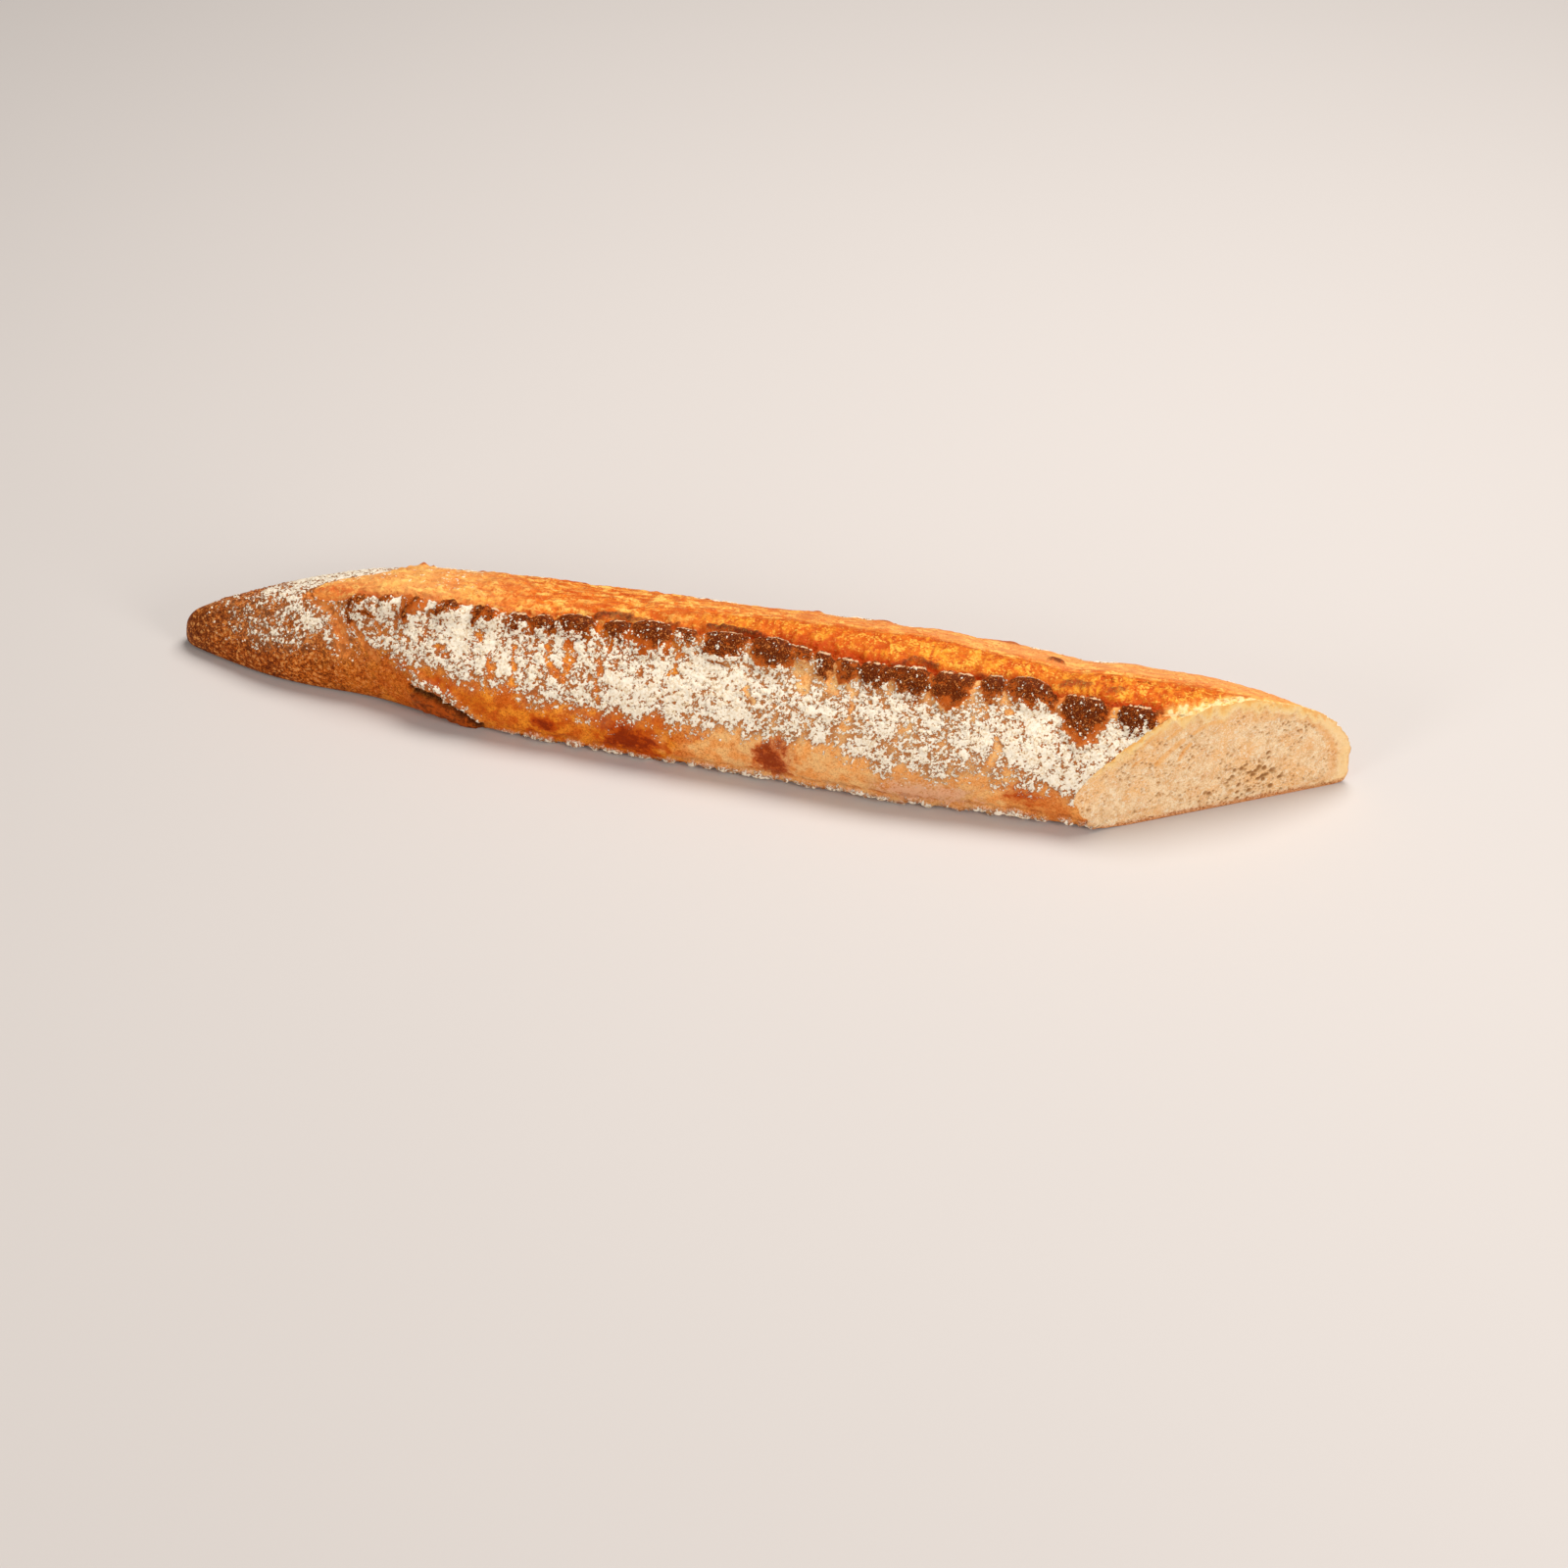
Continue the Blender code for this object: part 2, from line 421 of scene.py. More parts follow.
def paint(red, green, blue):
    # a colour from its screen values, 0 to 255
    shares = np.array((red, green, blue)) / 255
    light = np.where(shares < 0.04045, shares / 12.92, ((shares + 0.055) / 1.055) ** 2.4)
    return (*light.tolist(), 1.0)


print("form and finishes ready")

# The camera looks down on the loaf from in front, a little to the right.
camera = {
    "azimuth": math.radians(14.794),
    "elevation": math.radians(38.794),
    "distance": 1.2829,
    "lens": 83.55,
    "aimAlong": 240 * mm,
    "aimAcross": -33.8 * mm,
}


def makeCamera():
    turn, lift = camera["azimuth"], camera["elevation"]
    back = Vector((math.sin(turn) * math.cos(lift), -math.cos(turn) * math.cos(lift), math.sin(lift)))
    data = bpy.data.cameras.new("camera")
    data.lens = camera["lens"]
    data.sensor_width = 36
    data.clip_start = 0.05
    eye = placeObject("camera", data)
    aim = Vector((startMark + camera["aimAlong"], middleLine + camera["aimAcross"], low.z))
    eye.location = aim + back * camera["distance"]
    eye.rotation_mode = "QUATERNION"
    eye.rotation_quaternion = (-back).to_track_quat("-Z", "Y")
    bpy.context.scene.camera = eye


makeCamera()

# Studio: a pale floor under a wide lamp above and a little behind, with low lamps front left and right.
studio = {
    "floorSize": 12.0,
    "floor": (210, 202, 197),
    "floorPatches": (212.8, 204.7, 199.6),
    "sky": (255, 253, 250),
    "skyStrength": 0.24,
    # name, place, width, power, tint
    "lamps": (
        ("over", (0.18, 0.33, 1.12), 0.70, 12.8, (1.0, 0.985, 0.96)),
        ("front", (-0.64, -1.22, 0.52), 0.60, 5.6, (1.0, 0.98, 0.95)),
        ("right", (1.14, -0.62, 0.58), 0.60, 7.3, (1.0, 0.99, 0.97)),
    ),
}


def makeStudio():
    size = studio["floorSize"] / 2
    mesh = shapeMesh("floor", bmesh.ops.create_grid, x_segments=1, y_segments=1, size=size)
    floor = placeObject("floor", mesh)
    finish = Finish("floor")
    tone = finish.grains((400, 2, 0.6))[0]
    colour = finish.blend(tone, studio["floor"], studio["floorPatches"])
    mesh.materials.append(finish.feed(Base_Color=colour, Roughness=0.9))
    for name, spot, width, power, tint in studio["lamps"]:
        data = bpy.data.lights.new(name, "AREA")
        data.shape = "DISK"
        data.size = width
        data.energy = power
        data.color = tint
        lamp = placeObject(name, data)
        lamp.location = spot
        lamp.rotation_mode = "QUATERNION"
        lamp.rotation_quaternion = (-Vector(spot)).to_track_quat("-Z", "Y")
    world = bpy.data.worlds.new("studio")
    world.use_nodes = True
    sky = world.node_tree.nodes["Background"]
    sky.inputs["Color"].default_value = paint(*studio["sky"])
    sky.inputs["Strength"].default_value = studio["skyStrength"]
    bpy.context.scene.world = world
    bpy.context.scene.view_settings.view_transform = "Standard"


makeStudio()
print("camera and studio ready")

# The ear: a row of toasted lobes along the front lip of the score.
ear = {
    # centre and width of each lobe, girth of its edge, how far down it is toasted and bare of flour,
    # all in millimetres
    "lobes": (
        (76, 7, -1.0, 0, 0), (82, 5, -1.8, 0, 0), (89, 6, -1.0, 0, 1), (98, 9, -0.2, 0, 8),
        (112, 9, 0.3, 2, 3), (126, 9, 0.8, 3, 4), (138, 9, 0.5, 5, 4), (147, 8, 1.6, 7, 5),
        (159, 15, 3.8, 8, 6), (174, 9, 3.5, 8, 6), (187, 15, 5.0, 9, 11), (200, 9, 2.8, 5, 3),
        (214, 17, 3.5, 9, 8), (232, 16, 3.8, 9, 10), (243, 8, 1.8, 4, 4), (250, 8, 0.8, 7, 5),
        (259, 9, -0.3, 5, 7), (269, 11, 0.0, 9, 7), (282, 15, 0.5, 9, 8), (296, 14, 1.0, 9, 11),
        (310, 9, 2.4, 7, 7), (323, 15, 4.8, 8, 9), (342.5, 16, 1.2, 12, 16), (362, 13, 0.0, 13, 8),
    ),
    # torn brown flakes among the first lobes, as along and girth, with width and rise
    "flakes": (
        (((75, -10), (73.5, -6), (75.5, -2.5), (79.5, -0.8)), 1.4, 0.9),
        (((79, -6), (83, -8)), 0.5, 0.3),
        (((85.5, -5), (89, -1)), 0.8, 0.8),
        (((95, -6.5), (97, -4), (101, 0)), 1.5, 1.0),
        (((107, -3.5), (112, -0.5), (115, 0.5)), 1.5, 1.0),
        (((122, -4.5), (125, -0.5), (129, -1)), 1.7, 0.9),
    ),
    "start": 70,
    "notch": 2.0 * mm,      # how far the edge falls back between two lobes
    "puff": 2.0 * mm,
    "lip": 1.0 * mm,
    "hook": 0.5 * mm,
    "undercut": 1.3 * mm,
    "sink": 4.2 * mm,
}
# The score, where the crust has torn open: its two edges as girth at places along, in millimetres.
score = {
    "start": 57,
    "front": ((57, 3.2), (59, 0), (62, -1.6), (66, -2.3), (70, -2.6), (74, -2.4)),
    "back": (
        (57, 3.8), (59, 6), (61.5, 9), (66.5, 11.5), (73.5, 12), (79.5, 13.5), (85.5, 18), (91, 30), (97, 37),
        (120, 44), (460, 46),
    ),
    "noseFront": 0.02,      # where the edges' lines run out on the nose, in shares of the girth
    "noseBack": 0.10,
}
edgeKnots = [(centre, edge) for centre, width, edge, toasted, bare in ear["lobes"]]


def lobeArc(offset):
    return held(1 - np.abs(offset) ** 2.2)


def lobeEdge(along):
    highest = np.zeros(np.shape(along))
    for centre, width, edge, toasted, bare in ear["lobes"]:
        highest = np.maximum(highest, lobeArc((along / mm - centre) / (0.52 * width)) ** 0.7)
    return highest


def belowEdge(along, girth):
    # how far a point lies down the wall from the ear's edge, in millimetres
    return knots(along / mm, *edgeKnots) - girth / mm


def wobbled(along, girth, reach=0.9):
    # the same places moved about by some millimetres, so that lines drawn on the crust come out torn
    sideways = stretched(along, girth, 4, 4, 3, 41.0)
    around = stretched(along, girth, 4, 4, 3, 43.0)
    return along + reach * mm * sideways, girth + reach * mm * around


def lobeLooks(along, girth):
    # how high the lobes puff up, how toasted they are and how bare of flour, each from 0 to 1
    below = belowEdge(along, girth)
    ragged = 3.4 * stretched(along, girth, 5, 4, 4, 40.0)
    fine = 1.6 * stretched(along, girth, 1.6, 2.2, 3, 47.0)
    moved = along / mm + 2.2 * stretched(along, girth, 6, 6, 4, 44.0) + 0.5 * fine
    pillow, toast, clear = np.zeros((3,) + np.shape(along))
    for centre, width, edge, toasted, bare in ear["lobes"]:
        offset = (0.5 * along / mm + 0.5 * moved - centre) / (0.55 * width)
        tall = max(bare, 5) + 1.5
        fall = (below - 0.28 * tall) / (0.78 * tall)
        size = 0.55 + 0.45 * min(width / 14, 1.0)
        pillow = np.maximum(pillow, size * np.sqrt(held(lobeArc(offset) - fall**2)))
        offset = (moved - centre) / (0.60 * width)
        near = ease(lobeArc(offset), 0.0, 0.5)
        lower = below + ragged + fine + (2.0 + 0.42 * toasted) * offset**2
        toast = np.maximum(toast, near * ease(lower, toasted + 4.0, toasted - 3.5) * (toasted > 0))
        clear = np.maximum(clear, near * ease(lower, bare + 1.5, bare - 1.5) * (bare > 0))
    onFront = ease(below, -5, -3)
    return pillow * onFront, toast * onFront, clear * onFront


def flakeShare(along, girth):
    highest = np.zeros(np.shape(along))
    rise = np.zeros(np.shape(along))
    broken = 0.9 + 0.8 * stretched(along, girth, 2.4, 2.4, 3, 45.0)
    for points, width, height in ear["flakes"]:
        found = bell(nearLine(along, girth, points), width * 0.75) * broken
        highest = np.maximum(highest, found)
        rise = np.maximum(rise, found * height)
    return highest, rise


def isEar(along):
    return ease(along / mm, ear["start"], ear["start"] + 8)


def scoreFront(along):
    x = along / mm
    start = knots(x, *score["front"]) * mm
    notch = ear["notch"] * (0.3 + 0.7 * ease(x, 120, 150)) * (0.75 + 0.45 * np.sin(x * 0.31))
    edge = knots(x, *edgeKnots) * mm - (1 - lobeEdge(along)) * notch
    wander = 0.3 * np.sin(x * 0.73 + 1.0) + 0.25 * np.sin(x * 1.9)
    wander = wander + 0.22 * np.sin(x * 3.1 + 2 * np.sin(x * 0.47))
    return start + isEar(along) * (edge + wander * mm - start)


def scoreBack(along):
    x = along / mm
    wander = 1.2 * mm * np.sin(x * 0.09 + 0.5) + 0.6 * mm * np.sin(x * 0.37)
    return knots(x, *score["back"]) * mm + wander * ease(x, 58, 90)


def onNose(along, girth, noseShare):
    # ahead of the score its edges run on to the nose tip as evenly spaced lines
    start = score["start"] * mm
    ahead = held(1 - along / start)
    share = shareAt(np.maximum(along, start), girth(np.maximum(along, start)))
    return share + (lipShare + noseShare - share) * ahead


def frontShare(along):
    return onNose(along, scoreFront, score["noseFront"])


def backShare(along):
    return onNose(along, scoreBack, score["noseBack"])


# The crust: rows run around the loaf from the middle of the base, up the front and over.
crust = {
    "columns": 640,
    "noseColumns": 26,
    # rows on the base, the lower and upper front wall, the ear's fold, under the bloom, the back, the base
    "rows": (6, 34, 54, 8, 8, 32, 6),
    "upperWall": -20 * mm,
    "dents": ((26, 0.55), (9, 0.32), (3.2, 0.16)),     # size and depth in millimetres
    "flourDepth": 0.34 * mm,
    "rimReturn": 1.6 * mm,      # the last column turns in behind the crumb, and back from the cut
    "rimSink": 0.5 * mm,
    "insideGap": 150 * mm,      # from the cut to a point well inside the loaf
    "rimFold": 0.30,            # how far round the ear's fold the cut's outline and the bare crust reach
    "openFold": 0.35,
    # where the wall has burst at its foot: the crease, as along and girth, with what lies beside it
    "burst": {
        "line": ((98, -30.5), (104, -32.5), (111, -35), (118, -37.5), (123, -42), (127, -46.5)),
        "width": 1.5,
        "depth": 3.4,
        "tongue": 1.6,
        "ledge": 1.2,
    },
    # splits and creases on the front, as along and girth in millimetres, with width and depth
    "creases": (
        (((57, 2), (62, -1.5), (66, -4), (69.5, -9), (72, -14), (74, -21)), 2.8, 0.8),
        (((75.5, -12), (79, -15), (83, -20), (87, -24)), 1.1, 1.0),
        (((84, -9), (87, -13), (88, -17)), 0.8, 0.7),
        (((92, -4), (93, -9), (92, -14)), 0.7, 0.6),
        (((104, -5), (105, -12)), 0.6, 0.5),
    ),
    # thicker heaps of flour on the nose, as along, girth and size
    "heaps": (
        (41, -11, 4.5), (60, -8, 5.5), (52, 3, 6.0), (40, 4, 5.0), (33, -3, 4.0), (66, 12, 6.0),
        (53, -15, 3.0),
    ),
    # browned spots low on the front wall, in millimetres: along, height, length, tallness, and strength
    "toast": (
        (184, 10, 11, 10, 1.0), (176, 16, 7, 6, 0.6), (236, 12, 8, 8, 1.0), (240, 18, 5, 5, 0.7),
        (151, 10, 7, 6, 0.75), (97, 23, 6, 4, 0.6), (325, 15, 8, 7, 0.55), (128, 15, 8, 6, 0.35),
        (146, 3, 6, 4, 0.5), (366, 9, 6, 7, 0.4), (112, 17, 8, 4, 0.5),
    ),
    # bare channels down the floured wall and bare spots, as along and girth, with width
    "channels": (
        (((150, -9), (153, -14), (155, -18)), 1.5),
        (((158, -6), (159, -12), (158, -20)), 1.3),
        (((199, -5), (198, -9), (196, -14)), 1.2),
        (((138, -12), (140, -18), (141, -24)), 1.3),
        (((171, -12), (170, -18), (172, -24)), 1.4),
        (((130, -14), (132, -21)), 1.2),
        (((226, -14), (228, -19)), 1.0),
        (((244, -6), (245, -13)), 1.2),
        (((262, -9), (263, -16), (261, -22)), 1.4),
        (((314, -17), (315, -22), (314, -26)), 1.8),
        (((320, -27), (321, -33), (320, -38)), 2.0),
        (((316, -5), (318, -8)), 2.0),
        (((125, -8), (125, -10)), 2.0),
        (((110, -16), (113, -18)), 2.0),
    ),
}
rowEnds = np.cumsum((0,) + crust["rows"]) / sum(crust["rows"])


def foldRow(share):
    # a place around the sheet, this share of the way through the ear's fold
    return rowEnds[3] + share * (rowEnds[4] - rowEnds[3])


def rowShare(around, along):
    # the share of the girth on which each row runs at this place along
    middle = cornerShare(form["baseMiddleCorner"])
    lines = (
        0 * along + middle - 1,
        0 * along + cornerShare(form["frontFootCorner"]) - 1,
        np.minimum(shareAt(along, crust["upperWall"]), frontShare(along) - 0.06),
        frontShare(along),
        frontShare(along),
        backShare(along),
        0 * along + cornerShare(form["backFootCorner"]),
        0 * along + middle,
    )
    found = 0 * along
    for number in range(len(lines) - 1):
        start, end = rowEnds[number], rowEnds[number + 1]
        within = (around >= start - 1e-9) & (around <= end + 1e-9)
        step = held((around - start) / (end - start))
        found = np.where(within, lines[number] + step * (lines[number + 1] - lines[number]), found)
    return found


def burstLooks(along, girth):
    # the crease, which the crust's finish paints dark as shade, the tongue that hangs below it and the ledge
    # above it
    burst = crust["burst"]
    line = knots(along / mm, *burst["line"])
    below = line - girth / mm
    here = ease(along / mm, 97, 104) * ease(along / mm, 130, 126)
    crease = bell(nearLine(along, girth, burst["line"]), burst["width"])
    tongue = here * ease(below, 0.8, 2.4) * ease(below, 12, 8)
    ledge = here * bell(below + 3.6, 3.0)
    return np.stack([crease * ease(along / mm, 97, 103), tongue, ledge])


def flourShare(along, girth, points):
    # how much of the crust the flour covers, from 0 to 1
    x = along / mm
    g = girth / mm
    stretch = knots(
        x, (12, 0.08), (24, 0.32), (36, 0.42), (48, 0.52), (62, 0.50), (74, 0.66), (92, 0.76), (115, 0.95),
        (140, 0.90), (155, 0.80), (172, 0.80), (190, 0.86), (220, 0.86), (236, 0.70), (262, 0.70),
        (276, 0.82), (290, 0.66), (306, 0.72), (318, 0.94), (345, 0.95), (362, 0.88), (460, 0.85),
    )
    ragged = 4.0 * lumps(points, 9, 3, 1.0)
    lowest = knots(
        x, (12, -8), (30, -12), (50, -16), (85, -23), (116, -26), (140, -28), (154, -32), (176, -33),
        (205, -32), (233, -31), (256, -32), (276, -37), (297, -37), (312, -33), (330, -32), (345, -35),
        (380, -33),
    )
    front = 0.42 * ease(g + ragged, lowest - 6, lowest) + 0.58 * ease(g + ragged, lowest - 1, lowest + 8)
    back = ease((g + ragged) / sectionSize(along), 74, 54)
    patches = 0.30 * lumps(points, 8, 2, 2.0) + 0.20 * stretched(along, girth, 5, 12, 2, 3.0)
    spread = stretch * front * back + patches * ease(stretch * front * back, 0.02, 0.5)
    pillow, toasted, clear = lobeLooks(along, girth)
    clear = np.maximum(clear, 0.9 * drawn(*wobbled(along, girth, 2.0), crust["channels"]))
    spread = spread + sum(
        0.32 * bell(np.hypot(x - place, g - height) / size, 1.0) for place, height, size in crust["heaps"]
    )
    gaps = (1 - pillow) * bell(belowEdge(along, girth), 6.5) * ease(x, 125, 150)
    crowned = ease(x, 36, 48) * ease(x, 140, 110) * ease(g, 2, 9) * ease(g + ragged, 36, 20)
    spread = np.maximum(spread, 0.85 * crowned)
    return held(spread) * (1 - 0.72 * clear) * (1 - 0.9 * gaps)


def cutEnd(around, place):
    # how far along each line of a sheet meets the cut, found in steps from the middle line's distance
    end = np.full(np.shape(around), form["cutPlace"])
    for attempt in range(form["cutSteps"]):
        end = 0.5 * end + 0.5 * cutAlong(place(end))
    return end


def crustColumns(step, around):
    # how far along each point of the sheet lies, from the nose tip to the cut
    end = cutEnd(around, lambda along: skin(along, rowShare(around, along)))
    share = crust["noseColumns"] / crust["columns"]
    cap = form["noseCap"] * (1 - np.cos(held(step / share) * math.pi / 2))
    run = held((step - share) / (1 - share))
    return form["noseStart"] + cap + run * (end - form["noseCap"] - form["noseStart"])


def crustSurface(around, along):
    # points of the crust and what each of them looks like
    share = rowShare(around, along)
    zone = np.searchsorted(rowEnds[1:-1] - 1e-6, around)
    fold = held((around - rowEnds[3]) / (rowEnds[4] - rowEnds[3]))
    eared = isEar(along)
    inFold = (zone == 3) | (zone == 4)
    smooth = skin(along, share)
    girth = girthAt(along, share)
    x = along / mm
    g = girth / mm
    up = smooth[..., 2] - low.z
    front = ease(-(smooth[..., 1] - middleLine) / mm, -6, 6)

    # the ear's lobes, and the fold that turns down behind them into the score
    pillow, toasted, clear = lobeLooks(along, girth)
    below = belowEdge(along, girth)
    lip = ear["lip"] * bell(below - 2, 3.5) * eared
    raised = lip + ear["puff"] * pillow * eared
    flaked, flakeRise = flakeShare(*wobbled(along, girth, 1.5))
    raised = raised + flakeRise * mm * eared * (zone <= 3)
    inside = np.minimum(girth - scoreFront(along), scoreBack(along) - girth)
    scored = ease(x, score["start"] - 1, score["start"] + 6)
    depth = scored * (0.35 * mm * (1 - eared) + ear["sink"] * eared)
    width = np.clip(scoreBack(along) - scoreFront(along), 1 * mm, None)
    out = ease(girth, scoreBack(along) - 0.12 * width, scoreBack(along) + 0.3 * mm)
    hollow = -(depth + scored * 3.0 * mm * ease(inside, 0.0, 4 * mm) * (1 - eared)) * (1 - out)
    turned = raised * ease(fold, 0.6, 0) + hollow * ease(fold, 0.12, 1.0)
    relief = np.where(zone == 3, turned, np.where(zone == 4, hollow, raised))
    edge = 0.2 * mm * (1 - eared) * ease(x, score["start"] + 1, score["start"] + 7)
    relief += edge * bell(inside / mm, 1.5) * (zone < 3)
    under = ease((around - rowEnds[4]) / (rowEnds[5] - rowEnds[4]), 0, 0.3)
    slide = ear["hook"] * np.sin(held(fold / 0.45) * math.pi) - ear["undercut"] * ease(fold, 0.35, 1)
    slide = np.where(zone >= 4, -ear["undercut"] * (1 - under), slide)
    slide = np.where(inFold, slide * eared, 0.0)

    # dents, blisters, creases, the burst at the foot and the floury rim under it
    rough = sum(depth * mm * lumps(smooth, size, 2, size) for size, depth in crust["dents"])
    calm = ease(up / mm, 0.6, 5.0) * ease(x, 6, 20)
    relief += rough * calm * np.where(inFold, 0.35, 1.0)
    creased = drawn(*wobbled(along, girth), crust["creases"]) * (zone < 3)
    relief -= creased * mm
    burst = crust["burst"]
    crease, tongue, ledge = burstLooks(*wobbled(along, girth, 1.6)) * (zone < 3)
    relief += (burst["tongue"] * tongue + burst["ledge"] * ledge - burst["depth"] * crease) * mm
    ragged = lumps(smooth, 5, 3, 5.0)
    torn = stretched(along, girth, 5, 1.4, 3, 5.5)
    rimHeight = knots(x, (60, 0.8), (130, 1.8), (200, 2.2), (260, 2.8), (330, 3.2), (460, 2.2)) + 1.6 * ragged
    footed = ease(x, 122, 150) * front * (zone < 3)
    rimming = footed * bell(up / mm - rimHeight, 1.1) * ease(torn + 0.7 * ragged, -0.45, 0.1)
    undercut = footed * bell(up / mm - rimHeight - 2.3, 0.9)
    relief += ((0.9 + 0.6 * ragged + 0.7 * torn) * rimming - (0.5 + 0.8 * ragged) * undercut) * mm
    flour = flourShare(along, girth, smooth) * np.where(inFold, 1 - ease(fold, 0, 0.4) * scored, 1.0)
    flour = np.maximum(flour, 0.66 * ledge * front)
    flour = np.maximum(flour, 0.94 * rimming)
    flour = flour * (1 - 0.9 * held(flaked * 1.2)) * (1 - 0.9 * held(creased * 0.8))
    clumpy = held(0.5 + 0.9 * lumps(smooth, 1.6, 3, 6.0))
    floury = ease(flour + (clumpy - 0.5) * 0.8, 0.45, 0.75)
    relief += crust["flourDepth"] * floury * (0.4 + 1.2 * clumpy)

    share = share + asShare(along, slide)
    fromTip = (along - form["noseStart"]) / mm
    points = skin(along, share) + outwardAt(along, share) * (relief * ease(fromTip, 0.2, 4))[..., None]
    points[..., 2] = np.maximum(points[..., 2], low.z)
    turnedOver = np.where(inFold, ease(fold, 0.05, 0.5), 0.0)
    pink = ease(x + 8 * ragged, 262, 285) * ease(x + 6 * ragged, 318, 300)
    looks = {
        "flour": flour,
        "clumps": clumpy,
        "char": held(np.maximum(toasted * eared, 1.3 * flaked)) * (1 - turnedOver),
        "bare": held(clear) * eared,
        # a pale line along each lobe's top edge: partly flour dust, partly a painted highlight
        "lip": bell(below - 0.1, 0.45) * eared * (x > 128) * (1 - turnedOver),
        "split": held(creased),
        "inner": turnedOver * scored,
        "nose": ease(x + 6 * ragged, 125, 45),
        "rim": held(rimming * 1.1),
        "tongue": held(tongue),
        # the burst's crease, painted nearly black as shade in the finish
        "crease": held(crease),
        "tip": ease(x, 30, 8),
        "pink": pink * bell(up / mm - 9, 7) * front,
        # the groove above the floury rim, painted darker as shade in the finish
        "under": held(undercut * (0.6 + ragged)),
        # painted shade: the front wall darkens over its lowest two millimetres, next to the floor
        "footShade": front * ease(up / mm, 1.8, 0.5) * (zone < 3),
        "deep": ease(x + 14 * ragged, 222, 190) + 0.6 * ease(x + 8 * ragged, 312, 326),
        "toast": toastShare(points),
    }
    return points, looks


